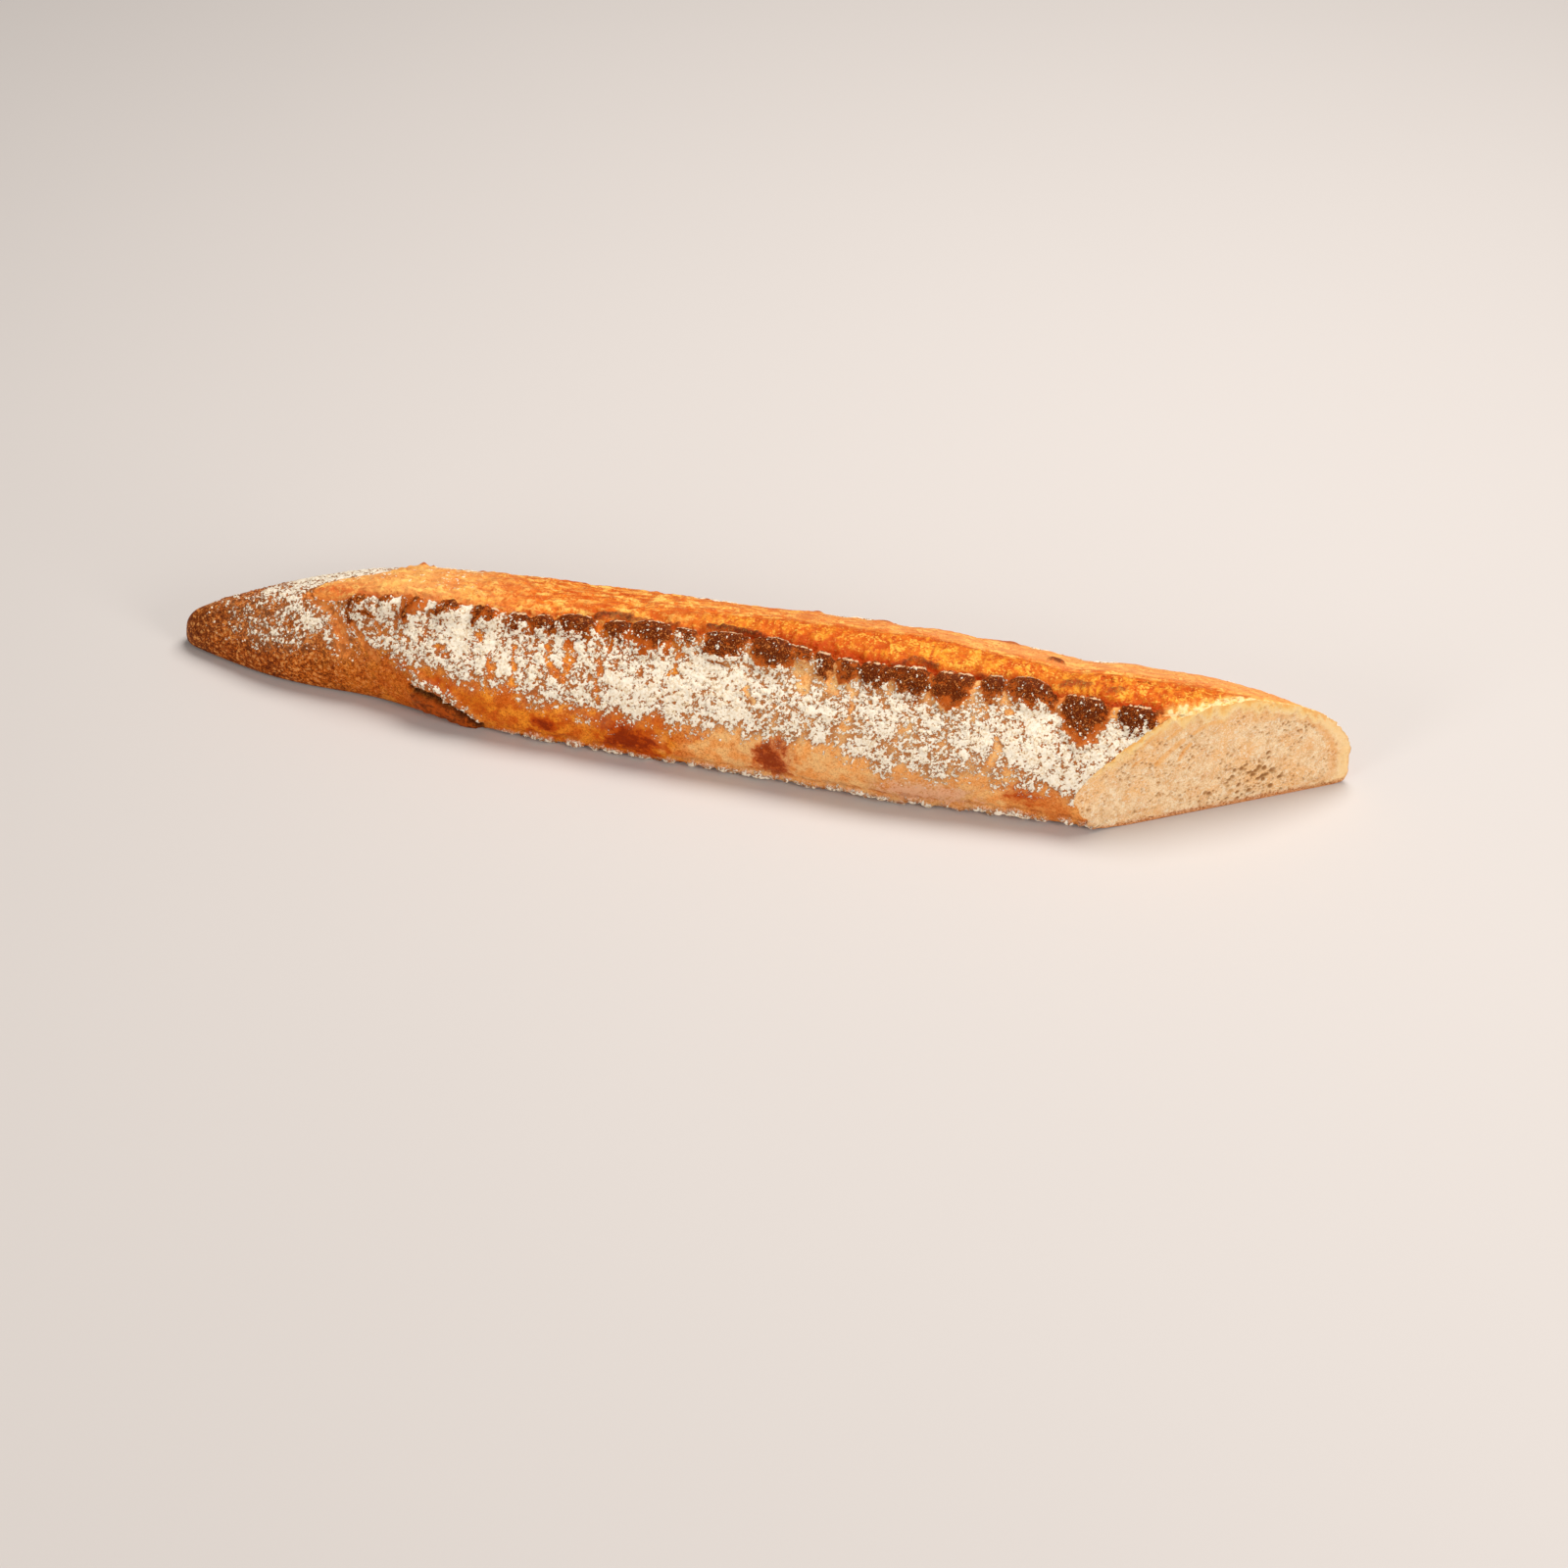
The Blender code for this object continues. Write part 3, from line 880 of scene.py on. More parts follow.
def crustFinish():
    finish = Finish("crust")
    finer, fine, spotted, lumpy, middle, broad = finish.grains(
        (0.42, 2, 0.6), (0.9, 3, 0.65), (1.4, 3, 0.6), (2.6, 4, 0.65), (5, 4, 0.6), (24, 3, 0.5),
    )
    flour, clumps, deep, nose, tip, toast = finish.shares("flour", "clumps", "deep", "nose", "tip", "toast")
    bare, char, split, tongue, pink, rim = finish.shares("bare", "char", "split", "tongue", "pink", "rim")
    inner, crease, footShade, under, lip = finish.shares("inner", "crease", "footShade", "under", "lip")
    mottled = (spotted * 0.6 + fine * 0.5).mixed(finer, 0.6) - 0.05
    grit = (0.5 - finish.cells(1.9)).mixed(lumpy, 1.0, fine, 0.9)

    # baked colour, from amber on the wall to brown on the nose
    pale = finish.blend(middle.ease(0.38, 0.62), (255, 206, 136), (255, 172, 90))
    amber = finish.blend(middle.ease(0.38, 0.62), (250, 152, 40), (212, 92, 8))
    amber = finish.coats(
        finish.blend(deep, pale, amber),
        (broad.ease(0.44, 0.60) * (deep * 0.35 + 0.18), (200, 92, 16)),
        (fine.mixed(finer, 0.6).ease(0.52, 0.38) * (deep * 0.35 + 0.28), (168, 74, 12)),
    )
    brown = finish.coats(
        finish.blend(lumpy.mixed(fine, 0.5).ease(0.36, 0.62), (206, 100, 24), (148, 62, 10)),
        (broad.ease(0.44, 0.60) * 0.6, (204, 100, 24)),
        (mottled.mixed(lumpy, 0.5).ease(0.52, 0.41) * 0.9, (84, 26, 2)),
        (tip.mixed(lumpy, 1.0).ease(0.3, 0.9) * 0.55, (104, 48, 18)),
    )

    # toasted spots, the scorched lobes, the softer inside where the crust has split, and painted shade in the
    # burst's crease
    toasted = toast.mixed(middle, 0.8, lumpy, 1.0, mottled, 1.2)
    charred = (char * 0.84).mixed(lumpy, 1.3, mottled, 1.8)
    charSpecks = (fine * 0.5 + spotted * 0.5).mixed(finer, 0.6).ease(0.55, 0.63) * char.ease(0.05, 0.4)
    torn = finish.blend(middle.ease(0.35, 0.65), (234, 136, 60), (200, 102, 38))
    soft = finish.blend(middle.ease(0.35, 0.65), (236, 150, 70), (206, 106, 36))
    hanging = finish.blend(lumpy.mixed(spotted, 0.6).ease(0.42, 0.60), (176, 76, 18), (98, 36, 8))
    colour = finish.coats(
        finish.blend(nose, amber, brown),
        (toasted.ease(0.22, 0.62) * toast.ease(0.03, 0.2) * 0.85, (190, 66, 4)),
        (toasted.ease(0.50, 0.90) * toast.ease(0.1, 0.4) * 0.85, (128, 34, 0)),
        (bare.mixed(lumpy, 0.6).ease(0.25, 0.7) * 0.85, (204, 98, 30)),
        ((charred + bare * 0.34).ease(0.12, 0.62) * (char + bare * 0.6).ease(0.02, 0.3) * 0.9, (172, 76, 16)),
        (charred.ease(0.44, 0.74) * 0.95, (84, 28, 2)),
        (charSpecks * 0.6, (226, 136, 66)),
        (split.ease(0.15, 0.6), torn),
        (inner, soft),
        (tongue.ease(0.2, 0.8) * 0.9, hanging),
        # painted shade in the burst's crease
        (crease.ease(0.15, 0.6) * 0.95, (54, 18, 6)),
    )

    # fine dust on the bare crust, thicker towards the flour, pinkish low on the right and on the rim
    noseSpecks = mottled.mixed(lumpy, 0.4).ease(0.56, 0.66) * nose
    gritty = grit.ease(0.14, 0.26) * nose * (1 - tongue * 0.6)
    wallSpecks = finer.mixed(fine, 0.6).ease(0.50, 0.60) * (1 - char.ease(0.0, 0.3))
    wallSpecks = wallSpecks * (1 - toast.ease(0.03, 0.3) * 0.92) * (1 - nose * 0.75)
    wallSpecks = wallSpecks * (1 - tongue * 0.8) * (1 - deep * 0.4) * (1 - bare * 0.7)
    speck = finish.blend(deep, (250, 198, 134), (250, 172, 84))
    pinkish = (pink * 0.8).mixed(lumpy, 1.4, fine, 1.6)
    grains = mottled.mixed(finer, 0.8, broad, 0.5).ease(0.44, 0.34)
    rimmed = (rim * 0.9).mixed(mottled, 2.6, lumpy, 1.0).ease(0.30, 0.60) * rim.ease(0.02, 0.2)
    lipDustAndHighlight = (lip * 0.9).mixed(lumpy, 1.6, fine, 1.0)
    colour = finish.coats(
        colour,
        (noseSpecks * (1 - tongue * 0.6) * 0.8, (240, 150, 70)),
        (gritty * 0.5, (242, 168, 94)),
        (grit.ease(-0.14, -0.26) * nose * 0.6, (92, 32, 4)),
        (wallSpecks * (flour * 0.7 + 0.28), speck),
        (pink * 0.6, (184, 106, 56)),
        (pinkish.ease(0.42, 0.72) * 0.55, (244, 194, 160)),
        (grains * (1 - deep) * (1 - char) * 0.35, (184, 104, 48)),
        (rim * 0.7, (150, 84, 46)),
        (rimmed * 0.85, (244, 200, 170)),
        # painted shade along the foot of the front wall, next to the floor
        (footShade * 0.8, (104, 52, 22)),
        # painted shade in the groove above the floury rim
        (under.ease(0.2, 0.7) * 0.35, (150, 78, 40)),
        # the lobes' top edges: pale with flour dust and with a painted highlight
        (lipDustAndHighlight.ease(0.45, 0.75) * 0.75, (250, 206, 160)),
    )

    # the flour: covers what its share says, broken up into clumps with dark pits between them
    heap = (flour * 0.82).mixed(lumpy, 1.2, fine, 1.4, clumps, 0.4) - (finish.cells(1.25) - 0.5) * 0.4
    heap = heap.mixed(finer, 0.5)
    film = heap.ease(0.34, 0.54) * flour.ease(0.03, 0.2)
    shaded = flour.ease(0.35, 0.75) * (1 - charred.ease(0.2, 0.6)) * (1 - nose * 0.4)
    cover = heap.ease(0.49, 0.58) * flour.ease(0.02, 0.12)
    floury = finish.blend(fine.mixed(lumpy, 0.6).ease(0.36, 0.58), (228, 200, 162), (250, 237, 216))
    colour = finish.coats(
        colour,
        (shaded * 0.8, (150, 68, 18)),
        (flour.ease(0.02, 0.6) * (1 - char.ease(0.0, 0.3)) * 0.12, (240, 186, 128)),
        (film * (1 - bare * 0.6) * 0.26, (236, 162, 92)),
        (cover, floury),
    )
    return finish.feed(
        Base_Color=colour,
        Roughness=0.55 + cover * 0.40,
        Normal=finish.relief(cover * 0.8 + fine * 0.35 + finer * 0.2, 0.42),
        Specular_IOR_Level=0.05,
    )


def toastShare(points):
    along = (points[..., 0] - startMark) / mm
    up = (points[..., 2] - low.z) / mm
    front = points[..., 1] < middleLine
    along = along + 3.0 * lumps(points, 6, 2, 31.0)
    up = up + 3.0 * lumps(points, 6, 2, 32.0)
    found = np.zeros(np.shape(along))
    for place, height, length, tall, strength in crust["toast"]:
        gap = np.hypot((along - place) / length, (up - height) / tall)
        found = np.maximum(found, strength * bell(gap, 1.0) * front)
    return found


def makeCrust():
    mesh, step, around = squareSheet("crust", crust["columns"], sum(crust["rows"]))
    last = step > 1 - 0.5 / crust["columns"]
    lastTwo = step > 1 - 1.5 / crust["columns"]
    onRim = lastTwo & ~last
    stepped = held(step * crust["columns"] / (crust["columns"] - 1))
    along = crustColumns(stepped, around)
    points, looks = crustSurface(around, along)
    points[lastTwo, 0] = (cutAlong(points) + startMark)[lastTwo]
    rim, rimRows = points[onRim], around[onRim]
    order = np.argsort(rimRows)
    middle = rim.mean(axis=0)
    inward = middle - points[last]
    inward = inward / np.linalg.norm(inward, axis=1, keepdims=True)
    points[last] += inward * crust["rimReturn"] - np.array(cutFacing) * crust["rimSink"]
    hidden = (around > foldRow(crust["openFold"])) & (around < rowEnds[5] - 1e-6)
    writePoints(mesh, drawnBack(points, hidden))
    writeShares(mesh, looks)
    inside = Vector((middle[0] - crust["insideGap"], middle[1], middle[2]))
    piece = finishPiece("crust", mesh, crustFinish(), inside)
    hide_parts("loaf")
    return piece, rim[order], rimRows[order]


crustPiece, crustRim, crustRimRows = makeCrust()

# The bloom: the soft inside that rose through the score and baked golden.
bloom = {
    "columns": 600,
    "rows": 112,
    "overlap": 2.4 * mm,
    "coveredFront": 8,      # rows at each edge that lie under the crust where the loaf is cut
    "coveredBack": 6,
    "tuckedRows": 5.5,      # rows at each edge that end short of the cut face
    # toasted ridges behind the ear: a line as along and girth in millimetres, with width, rise and darkness
    "ridges": (
        (((165, 7.0), (170, 8.6), (177, 8.6)), 1.7, 1.5, 0.9),
        (((177, 8.6), (186, 8.2), (195, 7.6)), 1.0, 0.9, 0.6),
        (((206, 8.0), (213, 8.8), (219, 8.2), (226, 7.2)), 1.2, 1.4, 1.0),
        (((274, 2.4), (281, 6.2), (289, 4.6)), 1.1, 1.1, 0.8),
        (((301, 4.2), (311, 5.0), (316, 4.4)), 1.0, 0.8, 0.6),
        (((333, 8.5), (337, 10.5), (342, 9.0)), 2.0, 0.8, 0.7),
        (((349, 7.5), (354, 8.0)), 1.5, 0.7, 0.6),
        (((326, 22.5), (329, 23.0)), 1.6, 1.4, 1.0),
    ),
    # flakes and bubbles on the crown: along, girth, rise and size, in millimetres
    "flakes": (
        (92.5, 27.5, 2.0, 1.5), (95.5, 29.5, 1.0, 1.0), (112, 38, 0.7, 2.2), (150, 41, 0.7, 2.5),
        (196, 41, 0.8, 1.6), (238, 41, 0.9, 1.8), (262, 41, 0.7, 3.0), (308, 41, 1.0, 5.0),
    ),
}


def bloomSheet(across, along):
    # where each point of the sheet runs: its girth and its smooth place on the loaf
    start = scoreFront(along) - (0.8 * mm + bloom["overlap"] * isEar(along))
    girth = start + across * (scoreBack(along) + bloom["overlap"] - start)
    return girth, skin(along, shareAt(along, girth))


def bloomSurface(across, along):
    girth, smooth = bloomSheet(across, along)
    x = along / mm
    g = girth / mm
    eared = isEar(along)
    fromFront = girth - scoreFront(along)
    fromBack = scoreBack(along) - girth
    share = shareAt(along, girth)

    # the trough behind the ear, the torn slope up to the crest and the smoother crown behind it;
    # towards the nose the bloom is one uneven flank without a crest
    opened = ease(x, 60, 90)
    ridgy = ease(x, 168, 225)
    wander = 1.8 * stretched(along, girth * 0, 19, 1, 2, 4.0)
    crest = knots(x, (60, 9), (180, 12.5), (230, 16.5), (290, 17.5), (340, 15.5), (400, 16)) + wander
    trough = knots(x, (60, 0.3), (100, 0.9), (160, 1.6), (220, 2.8), (330, 2.6), (400, 1.6))
    behind = g - scoreFront(along) / mm
    relief = -trough * bell(behind - 2.2, 3.4) * opened + 1.0 * bell(g - 17, 8) * opened
    relief += ridgy * (0.5 * ease(g, crest - 5, crest) - 0.5 * ease(g, crest, crest + 2.5))
    slope = ease(behind, 0.5, 3.0) * ease(g, crest + 2.0, crest - 1.0)
    torn = stretched(along, girth, 1.2, 3.2, 3, 8.0)
    torn = torn * (0.6 + 0.8 * stretched(along, girth, 9, 9, 2, 8.5))
    pits = stretched(along, girth, 2.4, 2.2, 3, 9.0)
    relief += slope * (0.45 * ridgy * torn + 0.6 * pits)
    crown = ease(g, crest, crest + 3)
    flaky = stretched(along, girth, 8, 1.6, 3, 11.0)
    knobbly = stretched(along, girth, 4.5, 3, 3, 11.5)
    swollen = lumps(smooth, 9, 3, 12.0)
    relief += (1 - ridgy) * opened * 0.55 * knobbly
    relief += crown * (0.45 * flaky + 0.5 * swollen) + 0.5 * lumps(smooth, 24, 2, 13.0) * eared
    ridged = np.zeros(np.shape(along))
    dark = np.zeros(np.shape(along))
    for points, width, rise, darkness in bloom["ridges"]:
        near = bell(nearLine(along, girth, points), width * (1 + 0.25 * knobbly))
        ridged = np.maximum(ridged, rise * near * (1 + 0.5 * torn))
        dark = np.maximum(dark, darkness * near)
    relief += ridged
    flaked = np.zeros(np.shape(along))
    for place, height, rise, size in bloom["flakes"]:
        near = bell(np.hypot(x - place, g - height) * (1 + 0.5 * knobbly), size)
        relief += rise * near
        flaked = np.maximum(flaked, near)
    # both edges dive under the crust
    relief = relief * mm
    flush = ease(x, 76, 64)
    dive = ease(fromFront, 1.2 * mm, -bloom["overlap"]) * 2.2 * mm * (1 - 0.7 * flush)
    dive = dive + ease(fromFront, 4.0 * mm, 0.0) * 0.65 * mm * flush
    dive = dive + (1 - eared) * (1 - flush) * 0.5 * mm * bell(fromFront / mm, 1.6)
    relief = relief - dive - ease(fromBack, 1.2 * mm, -bloom["overlap"]) * 1.5 * mm
    points = smooth + outwardAt(along, share) * (relief + 0.15 * mm)[..., None]
    fromCut = (cutAlong(smooth) - along) / mm
    streaky = stretched(along, girth, 1.6, 7, 3, 14.0)
    whiteness = knots(x, (55, 0.5), (70, 0.34), (95, 0.26), (110, 0.34), (125, 0.12), (150, 0.0))
    looks = {
        "slope": held(slope),
        "ridgy": ridgy,
        "torn": 0.5 + 0.5 * torn,
        "flaky": 0.5 + 0.5 * flaky,
        "knobbly": 0.5 + 0.5 * knobbly,
        "ridge": held(dark),
        "crest": bell(g - crest - 0.4, 1.6) * opened * (0.35 + 0.65 * ridgy),
        # painted shade in the trough just behind the ear
        "deep": bell(fromFront / mm - 1.4, 3.4 + 3.0 * bell(x - 248, 17)) * eared * (0.4 + 0.6 * ridgy),
        "flake": held(flaked),
        "pale": ease(x, 150, 330) * ease(g, crest, crest + 8),
        "start": ease(x, 150, 85),
        "red": ease(x, 96, 64) * ease(behind, 11, 5),
        "joined": ease(x, 77, 63) * ease(behind + 1.5 * knobbly, 5.5, 0.8),
        "cut": ease(fromCut + 6 * streaky - 3 * slope, 8, 0.5),
        "dusted": whiteness * ease(g, 4, 9) + 0.35 * ease(g, 30, 40) * ease(x, 120, 90),
    }
    return points, looks


def bloomFinish():
    finish = Finish("bloom")
    finer, fine, spotted, lumpy, middle, broad = finish.grains(
        (0.42, 2, 0.6), (0.9, 3, 0.6), (1.6, 2, 0.55), (2.4, 4, 0.6), (5, 4, 0.6), (16, 3, 0.5),
    )
    ridgy, knobbly, flaky, torn, onSlope = finish.shares("ridgy", "knobbly", "flaky", "torn", "slope")
    crest, deep, cut, ridge, flake, joined = finish.shares("crest", "deep", "cut", "ridge", "flake", "joined")
    pale, start, red, dusted = finish.shares("pale", "start", "red", "dusted")

    # the crown and the flank towards the nose: orange, with golden knobs and browner streaks
    grainy = (spotted - 0.5).mixed(fine, 1.0, finer, 0.6)
    streaked = flaky * 0.7 + (1 - knobbly) * 0.3 + grainy * 0.9
    crown = finish.coats(
        finish.blend(middle.ease(0.42, 0.58), (255, 172, 70), (236, 120, 24)),
        ((knobbly.mixed(lumpy, 1.0) + grainy * 0.8).ease(0.48, 0.78) * 0.85, (255, 208, 108)),
        (streaked.ease(0.46, 0.68) * 0.85, (200, 74, 8)),
        (lumpy.mixed(spotted, 1.0).ease(0.44, 0.34) * 0.5, (214, 84, 10)),
        (broad.ease(0.50, 0.64) * 0.4, (220, 98, 20)),
        (pale * 0.5, (250, 184, 112)),
        (start * 0.55, (255, 198, 116)),
        (red * streaked.mixed(spotted, 1.0).ease(0.30, 0.62) * 0.8, (214, 84, 14)),
    )
    # the torn slope: golden streaks on deep orange
    slope = finish.coats(
        finish.blend(torn.mixed(lumpy, 0.8).ease(0.34, 0.66), (200, 80, 6), (246, 160, 44)),
        (lumpy.mixed(broad, 1.0).ease(0.46, 0.62) * 0.75, (216, 88, 8)),
        (middle.mixed(fine, 0.8).ease(0.54, 0.68) * 0.7, (255, 196, 76)),
    )
    # both together, with the crease behind the ear darkened by painted shade, the cut's paler edge, the
    # ridges and the dust
    darkened = ridge + grainy * 0.8
    seamed = joined.mixed(lumpy, 0.8, spotted, 0.6).ease(0.2, 0.7) * joined.ease(0.02, 0.2)
    golden = fine.mixed(finer, 0.5).ease(0.58, 0.70) * (1 - deep * 0.7)
    heap = dusted.mixed(lumpy, 1.1, fine, 1.1)
    colour = finish.coats(
        finish.blend(onSlope * ridgy, crown, slope),
        (crest * (middle + broad * 0.8).ease(0.72, 1.0) * 0.7, (196, 80, 18)),
        # painted shade deep in the trough behind the ear
        (deep.ease(0.12, 0.7) * 0.85, (194, 62, 0)),
        (cut * 0.8, (255, 204, 108)),
        (cut.mixed(spotted, 1.0, lumpy, 1.0).ease(0.75, 1.05) * 0.7, (255, 232, 178)),
        (darkened.ease(0.22, 0.6) * 0.8, (160, 68, 22)),
        (darkened.ease(0.62, 0.95) * 0.75, (96, 40, 16)),
        (flake.ease(0.3, 0.8) * 0.8, (170, 70, 30)),
        (seamed * 0.85, (232, 134, 56)),
        (golden * 0.35, (255, 212, 110)),
        (spotted.mixed(fine, 0.7).ease(0.44, 0.34) * 0.4, (196, 76, 14)),
        (heap.ease(0.46, 0.58) * dusted.ease(0.02, 0.1), (250, 228, 196)),
    )
    return finish.feed(
        Base_Color=colour,
        Roughness=0.50 + fine * 0.2,
        Normal=finish.relief(fine * 0.6 + lumpy * 0.8 + finer * 0.2, 0.6),
        Specular_IOR_Level=0.12,
    )


def makeBloom():
    mesh, step, across = squareSheet("bloom", bloom["columns"], bloom["rows"])
    start = (score["start"] - 1.0) * mm
    end = cutEnd(across, lambda along: bloomSheet(across, along)[1])
    along = start + step * (end - start)
    points, looks = bloomSurface(across, along)
    last = step > 1 - 0.5 / bloom["columns"]
    points[last, 0] = (cutAlong(points) + startMark)[last]
    rim = points[last][np.argsort(across[last])]
    edge = bloom["tuckedRows"] / bloom["rows"]
    writePoints(mesh, drawnBack(points, (across < edge) | (across > 1 - edge)))
    writeShares(mesh, looks)
    finishPiece("bloom", mesh, bloomFinish(), Vector((0.0, middleLine, low.z)))
    return rim


bloomRim = makeBloom()

# The crumb: the cut face, with its pores.
crumb = {
    "across": 430,
    "up": 215,
    "pores": 3400,
    "poreSize": (0.25 * mm, 0.75 * mm),
    "poreDepth": 0.8 * mm,
    "poreSqueeze": (0.5, 1.0),      # how narrow the pores are, and how far they lean
    "poreLean": (-0.2, 1.1),
    # a crowd of wider pores: its middle, spread, count and sizes
    "crowd": {
        "wide": 1.0 * mm, "tall": -9 * mm, "spread": (11 * mm, 6 * mm), "count": 110,
        "size": (0.5 * mm, 1.3 * mm),
    },
    "relief": 0.30 * mm,
    "fibreDepth": 0.22 * mm,
    "streakDepth": 0.25 * mm,
    "sink": 0.02 * mm,      # keeps the face a little inside the solid
    "insideGap": 50 * mm,
    # golden streaks, as places across and up the face in millimetres, with width
    "streaks": (
        (((-43, 12), (-39, 16), (-34, 19)), 0.8), (((-37, 4), (-32, 9), (-28, 12)), 1.3),
        (((-29, 4), (-27, 8), (-25, 10)), 0.8), (((-24, 14), (-19, 17), (-14, 17)), 0.8),
        (((-33, 14), (-28, 18)), 1.0), (((-46, 5), (-43, 7)), 0.7),
    ),
}


def cutRim():
    # the face's outline: up the front crust to the ear, over the bloom, and down the back
    upFront = crustRim[crustRimRows <= foldRow(crust["rimFold"])]
    downBack = crustRim[crustRimRows >= rowEnds[5] + 1e-6]
    return np.vstack([upFront, bloomRim[bloom["coveredFront"]:-bloom["coveredBack"]], downBack])


def poreDepth(wide, tall, halfWide, halfTall):
    # how hollow the face is, from many small pores and a crowd of wider ones
    count = crumb["pores"]
    spotWide = seed.uniform(-1, 1, count) * halfWide + wide.mean()
    spotTall = seed.uniform(-1, 1, count) * halfTall + tall.mean()
    sizes = randomSizes(*crumb["poreSize"], count, 2)
    crowd = crumb["crowd"]
    spotWide = np.append(spotWide, crowd["wide"] + crowd["spread"][0] * seed.normal(0, 0.7, crowd["count"]))
    spotTall = np.append(spotTall, crowd["tall"] + crowd["spread"][1] * seed.normal(0, 0.7, crowd["count"]))
    sizes = np.append(sizes, randomSizes(*crowd["size"], crowd["count"], 1.6))
    squeeze = seed.uniform(*crumb["poreSqueeze"], len(sizes))
    turn = seed.uniform(*crumb["poreLean"], len(sizes))
    hollow = np.zeros(len(wide))
    for number, size in enumerate(sizes):
        near = np.flatnonzero(np.abs(wide - spotWide[number]) < 2.0 * size)
        offWide = wide[near] - spotWide[number]
        offTall = tall[near] - spotTall[number]
        cosine, sine = math.cos(turn[number]), math.sin(turn[number])
        longWay = offWide * cosine + offTall * sine
        shortWay = (offTall * cosine - offWide * sine) / squeeze[number]
        share = held(1 - (longWay**2 + shortWay**2) / size**2)
        hollow[near] = np.maximum(hollow[near], np.sqrt(share) * min(size / mm, 1.0))
    return hollow


def makeCrumb():
    rim = cutRim()
    mesh, wide, tall = squareSheet("crumb", crumb["across"], crumb["up"])
    # the square is drawn into a round, and the round out to the outline
    wide, tall = 2 * wide - 1, 2 * tall - 1
    roundWide = wide * np.sqrt(1 - tall**2 / 2)
    roundTall = tall * np.sqrt(1 - wide**2 / 2)
    reach = held(np.hypot(roundWide, roundTall))
    angle = np.arctan2(roundTall, roundWide)
    facing = np.array(cutFacing)
    sideways = np.cross((0, 0, 1), facing)
    sideways = sideways / np.linalg.norm(sideways)
    upright = np.cross(facing, sideways)
    middle = (rim.max(axis=0) + rim.min(axis=0)) / 2
    rimWide, rimTall = (rim - middle) @ sideways, (rim - middle) @ upright
    halfWide, halfTall = np.abs(rimWide).max(), np.abs(rimTall).max()
    rimAngle = np.unwrap(np.arctan2(rimTall / halfTall, rimWide / halfWide))
    if rimAngle[-1] < rimAngle[0]:
        rimAngle, rim = rimAngle[::-1], rim[::-1]
    order = np.maximum.accumulate(rimAngle)
    wrapped = (angle - order[0]) % (2 * math.pi) + order[0]
    outer = np.stack([np.interp(wrapped, order, rim[:, axis]) for axis in range(3)], axis=-1)
    points = middle + (outer - middle) * reach[:, None]
    inset = (1 - reach) * np.linalg.norm(outer - middle, axis=1) / mm

    # places across and up the face from the middle line, for the pores, the fibres and the streaks
    origin = np.array((startMark + form["cutPlace"], middleLine, low.z + form["cutLeanHeight"]))
    faceWide, faceTall = (points - origin) @ sideways, (points - origin) @ upright
    height = (points[:, 2] - low.z) / mm
    hollow = poreDepth(faceWide, faceTall, halfWide, halfTall)
    uneven = lumps(points, 6, 3, 21.0)
    spongy = lumps(points, 1.0, 2, 22.0)
    fibres = stretched(faceWide + faceTall, faceTall - 0.6 * faceWide, 6, 1.1, 3, 24.0)
    calm = ease(inset, 0.2, 1.6)
    smoothPatch = ease(lumps(points, 11, 2, 23.0), -0.2, 0.35)
    porous = 1 - 0.55 * smoothPatch
    hanging = stretched(faceWide, faceTall, 3.0, 7, 4, 25.0)
    streaks = drawn(faceWide, faceTall, crumb["streaks"])
    depth = crumb["poreDepth"] * hollow * porous + crumb["relief"] * (0.5 * uneven - 0.5 * spongy * porous)
    depth = calm * (depth - crumb["fibreDepth"] * fibres + crumb["streakDepth"] * streaks)
    points = points - facing * (depth + crumb["sink"])[:, None]
    points[:, 2] = np.maximum(points[:, 2], low.z + crumb["sink"])
    writePoints(mesh, points)
    writeShares(mesh, {
        "inset": inset,
        "hollow": hollow * porous,
        "height": height,
        "back": ease(faceWide / mm, 14, 26),
        "upper": ease(height, 20, 30),
        "hanging": 0.5 + 0.5 * hanging,
        "smooth": smoothPatch,
        "fibres": 0.5 + 0.5 * fibres,
        "streaks": streaks,
    })
    finishPiece("crumb", mesh, crumbFinish(), Vector(middle) - crumb["insideGap"] * cutFacing)


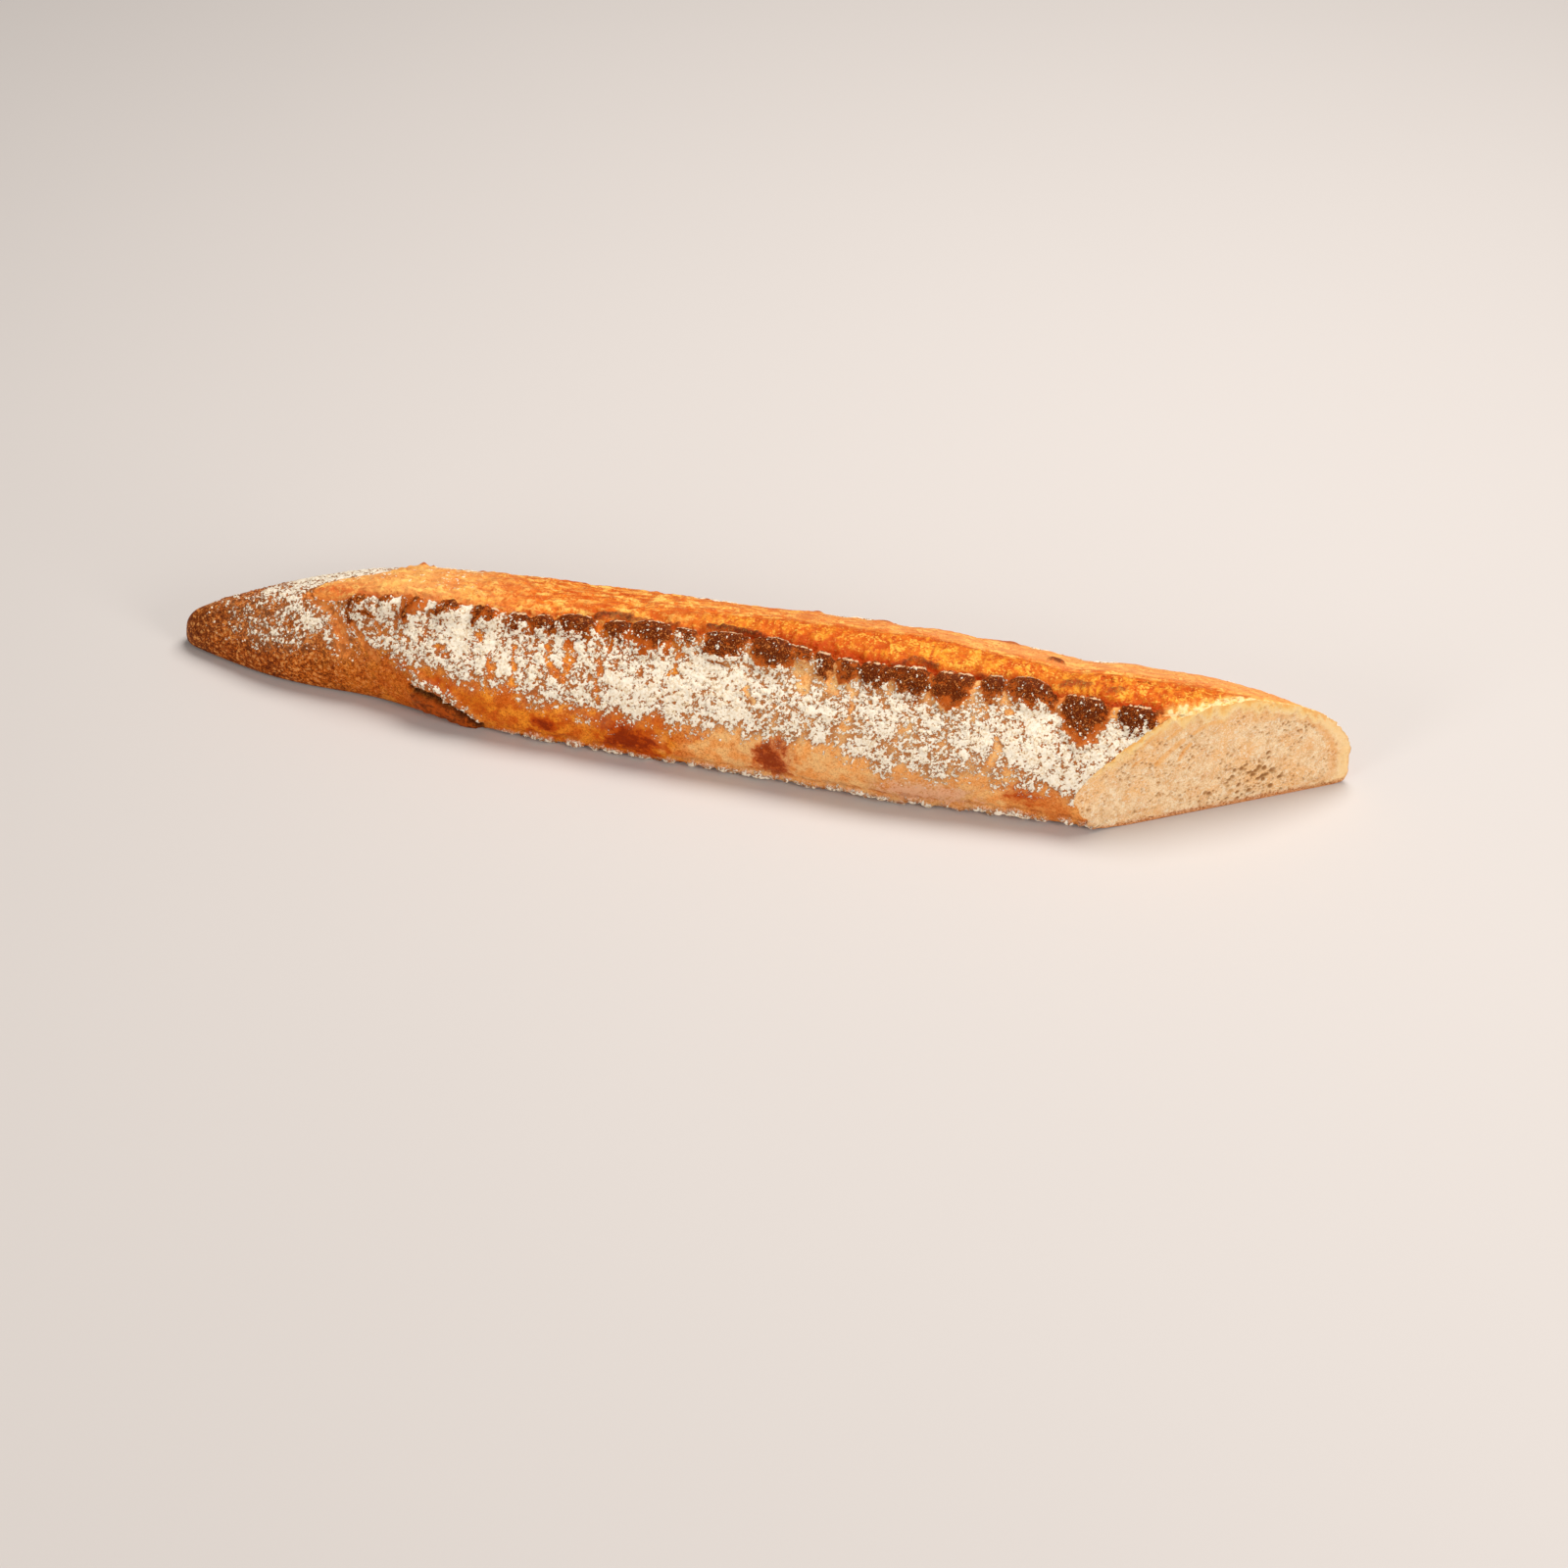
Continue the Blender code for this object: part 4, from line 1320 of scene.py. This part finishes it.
def crumbFinish():
    finish = Finish("crumb")
    finer, fine, lumpy, middle, broad = finish.grains(
        (0.45, 2, 0.6), (0.9, 3, 0.6), (2.0, 3, 0.6), (3.5, 4, 0.6), (11, 3, 0.5),
    )
    fibres, smooth, hollow, streaks = finish.shares("fibres", "smooth", "hollow", "streaks")
    inset, height, back, upper, hanging = finish.shares("inset", "height", "back", "upper", "hanging")

    # the face: cream, with wisps and foam walls, and painted shade in the pores and in the foam's cells
    flecked = finer.mixed(fine, 0.6)
    wisps = ((fibres - 0.5) * 0.6 + middle).mixed(fine, 0.6)
    foam = finish.cells(1.15, "DISTANCE_TO_EDGE").mixed(fine, 0.10)
    walls = foam.ease(0.12, 0.02) * (1 - smooth * 0.6)
    cells = foam.ease(0.20, 0.40) * (1 - smooth * 0.7) * lumpy.mixed(broad, 1.2).ease(0.46, 0.62)
    pores = hollow.mixed(finer, 0.4)
    colour = finish.coats(
        finish.blend(middle.ease(0.40, 0.62), (253, 218, 172), (232, 184, 130)),
        (broad.ease(0.46, 0.62) * 0.8, (250, 192, 126)),
        (fibres.ease(0.62, 0.85) * 0.5, (255, 240, 214)),
        (flecked.ease(0.56, 0.66) * 0.5, (255, 240, 210)),
        (flecked.ease(0.46, 0.36) * 0.40, (214, 164, 108)),
        (wisps.ease(0.54, 0.70) * 0.45, (242, 174, 104)),
        (lumpy.mixed(fine, 0.9).ease(0.56, 0.70) * 0.45, (255, 243, 218)),
        (walls * middle.ease(0.40, 0.58) * 0.35, (255, 240, 208)),
        # painted shade inside the foam's small cells
        (cells * 0.45, (206, 150, 92)),
        # painted shade in the pores, darker the deeper they are
        (pores.ease(0.15, 0.60) * 0.65, (192, 142, 88)),
        (pores.ease(0.45, 0.90) * 0.75, (146, 94, 48)),
        (streaks.ease(0.25, 0.8) * 0.6, (246, 176, 92)),
    )

    # the rim: golden at the top and the back, brown and grainy along the base
    edge = inset.mixed(middle, 3.0, fine, 1.2)
    torn = edge + (hanging - 0.5) * 6.0 * upper
    golden = (1 - (torn * (1 - back * 0.45)).ease(0.4, 4.2)) * (back * 0.85 + upper * 0.8).ease(0.0, 1.0)
    gold = finish.blend(back, (255, 210, 134), (255, 217, 158))
    seam = torn.ease(4.0, 6.0) * torn.ease(9.0, 7.0) * (back * 0.8 + upper * 0.5)
    base = 1 - height.mixed(middle, 1.6, fine, 2.0, lumpy, 2.0).ease(0.5, 2.4)
    colour = finish.coats(
        colour,
        ((1 - torn.ease(1.5, 9.0)) * upper * 0.7, (255, 220, 156)),
        (golden, gold),
        (seam * 0.5, (240, 168, 92)),
        ((1 - torn.ease(-0.5, 1.6)) * upper * 0.55, (246, 166, 70)),
        ((1 - edge.ease(0.1, 0.9)) * (1 - upper) * 0.6, (240, 176, 108)),
        (base * 0.75, (204, 118, 58)),
        (base * fine.mixed(finer, 1.0).ease(0.46, 0.36) * 0.6, (150, 72, 28)),
        (base * finer.mixed(fine, 1.0).ease(0.54, 0.64) * 0.5, (244, 186, 130)),
    )
    return finish.feed(
        Base_Color=colour,
        Roughness=0.9,
        Normal=finish.relief(fine * 0.7 + middle * 0.4 + finer * 0.2, 0.40),
        Specular_IOR_Level=0.05,
    )


makeCrumb()

# Flour: loose clumps that stand on the dusted crust.
flour = {
    "clumps": 5500,
    "size": (0.18 * mm, 0.50 * mm),
    "fewLarge": 2.2,
    "flatness": 0.55,
    "unevenness": (0.7, 1.3),
    "scatter": 0.25 * mm,
    "lowest": 0.05 * mm,
    "onRim": 0.15,      # how much thinner they lie on the foot's floury rim
}


def clumpPlaces(count):
    # points on the crust, thicker where the flour lies thicker
    mesh = crustPiece.data
    points = readPoints(mesh)
    shares = {}
    for name in ("flour", "clumps", "rim"):
        values = np.empty(len(points), np.float32)
        mesh.attributes[name].data.foreach_get("value", values)
        shares[name] = values
    normals = np.empty(len(points) * 3, np.float32)
    mesh.vertices.foreach_get("normal", normals)
    normals = normals.reshape(-1, 3)
    thick = ease(shares["flour"] * 1.2 + (shares["clumps"] - 0.5) * 0.9, 0.5, 0.8)
    likely = (thick + 0.03 * (shares["flour"] > 0.15)) * (1 - (1 - flour["onRim"]) * shares["rim"])
    chosen = seed.choice(len(points), count, p=likely / likely.sum())
    return points[chosen], normals[chosen].astype(float)


def makeFlour():
    count = flour["clumps"]
    roundClump = shapeMesh("flour", bmesh.ops.create_icosphere, subdivisions=1, radius=1.0)
    single = placeObject("clump", roundClump)
    array = single.modifiers.new("many", "ARRAY")
    array.count = count
    array.use_relative_offset = False
    many = bpy.data.meshes.new_from_object(single.evaluated_get(bpy.context.evaluated_depsgraph_get()))
    bpy.data.objects.remove(single)
    places, normals = clumpPlaces(count)
    shape = readPoints(many).reshape(count, -1, 3)
    shape = shape * seed.uniform(*flour["unevenness"], shape.shape)
    sizes = randomSizes(*flour["size"], count, flour["fewLarge"])
    scatter = seed.normal(0, flour["scatter"], (count, 3))
    side = np.cross(normals, seed.normal(size=(count, 3)))
    side = side / np.linalg.norm(side, axis=1, keepdims=True)
    other = np.cross(normals, side)
    axes = np.stack([side, other, normals * flour["flatness"]], axis=1) * sizes[:, None, None]
    places = places + scatter - normals * (scatter * normals).sum(axis=1, keepdims=True)
    shape = shape @ axes + places[:, None, :]
    shape[..., 2] = np.maximum(shape[..., 2], low.z + flour["lowest"])
    writePoints(many, shape.reshape(-1, 3))
    finish = Finish("flour")
    tone = finish.grains((1.6, 2, 0.6))[0]
    colour = finish.blend(tone.ease(0.3, 0.7), (240, 220, 190), (252, 240, 220))
    placePiece("flour", many, finish.feed(Base_Color=colour, Roughness=0.95, Specular_IOR_Level=0.1))


makeFlour()
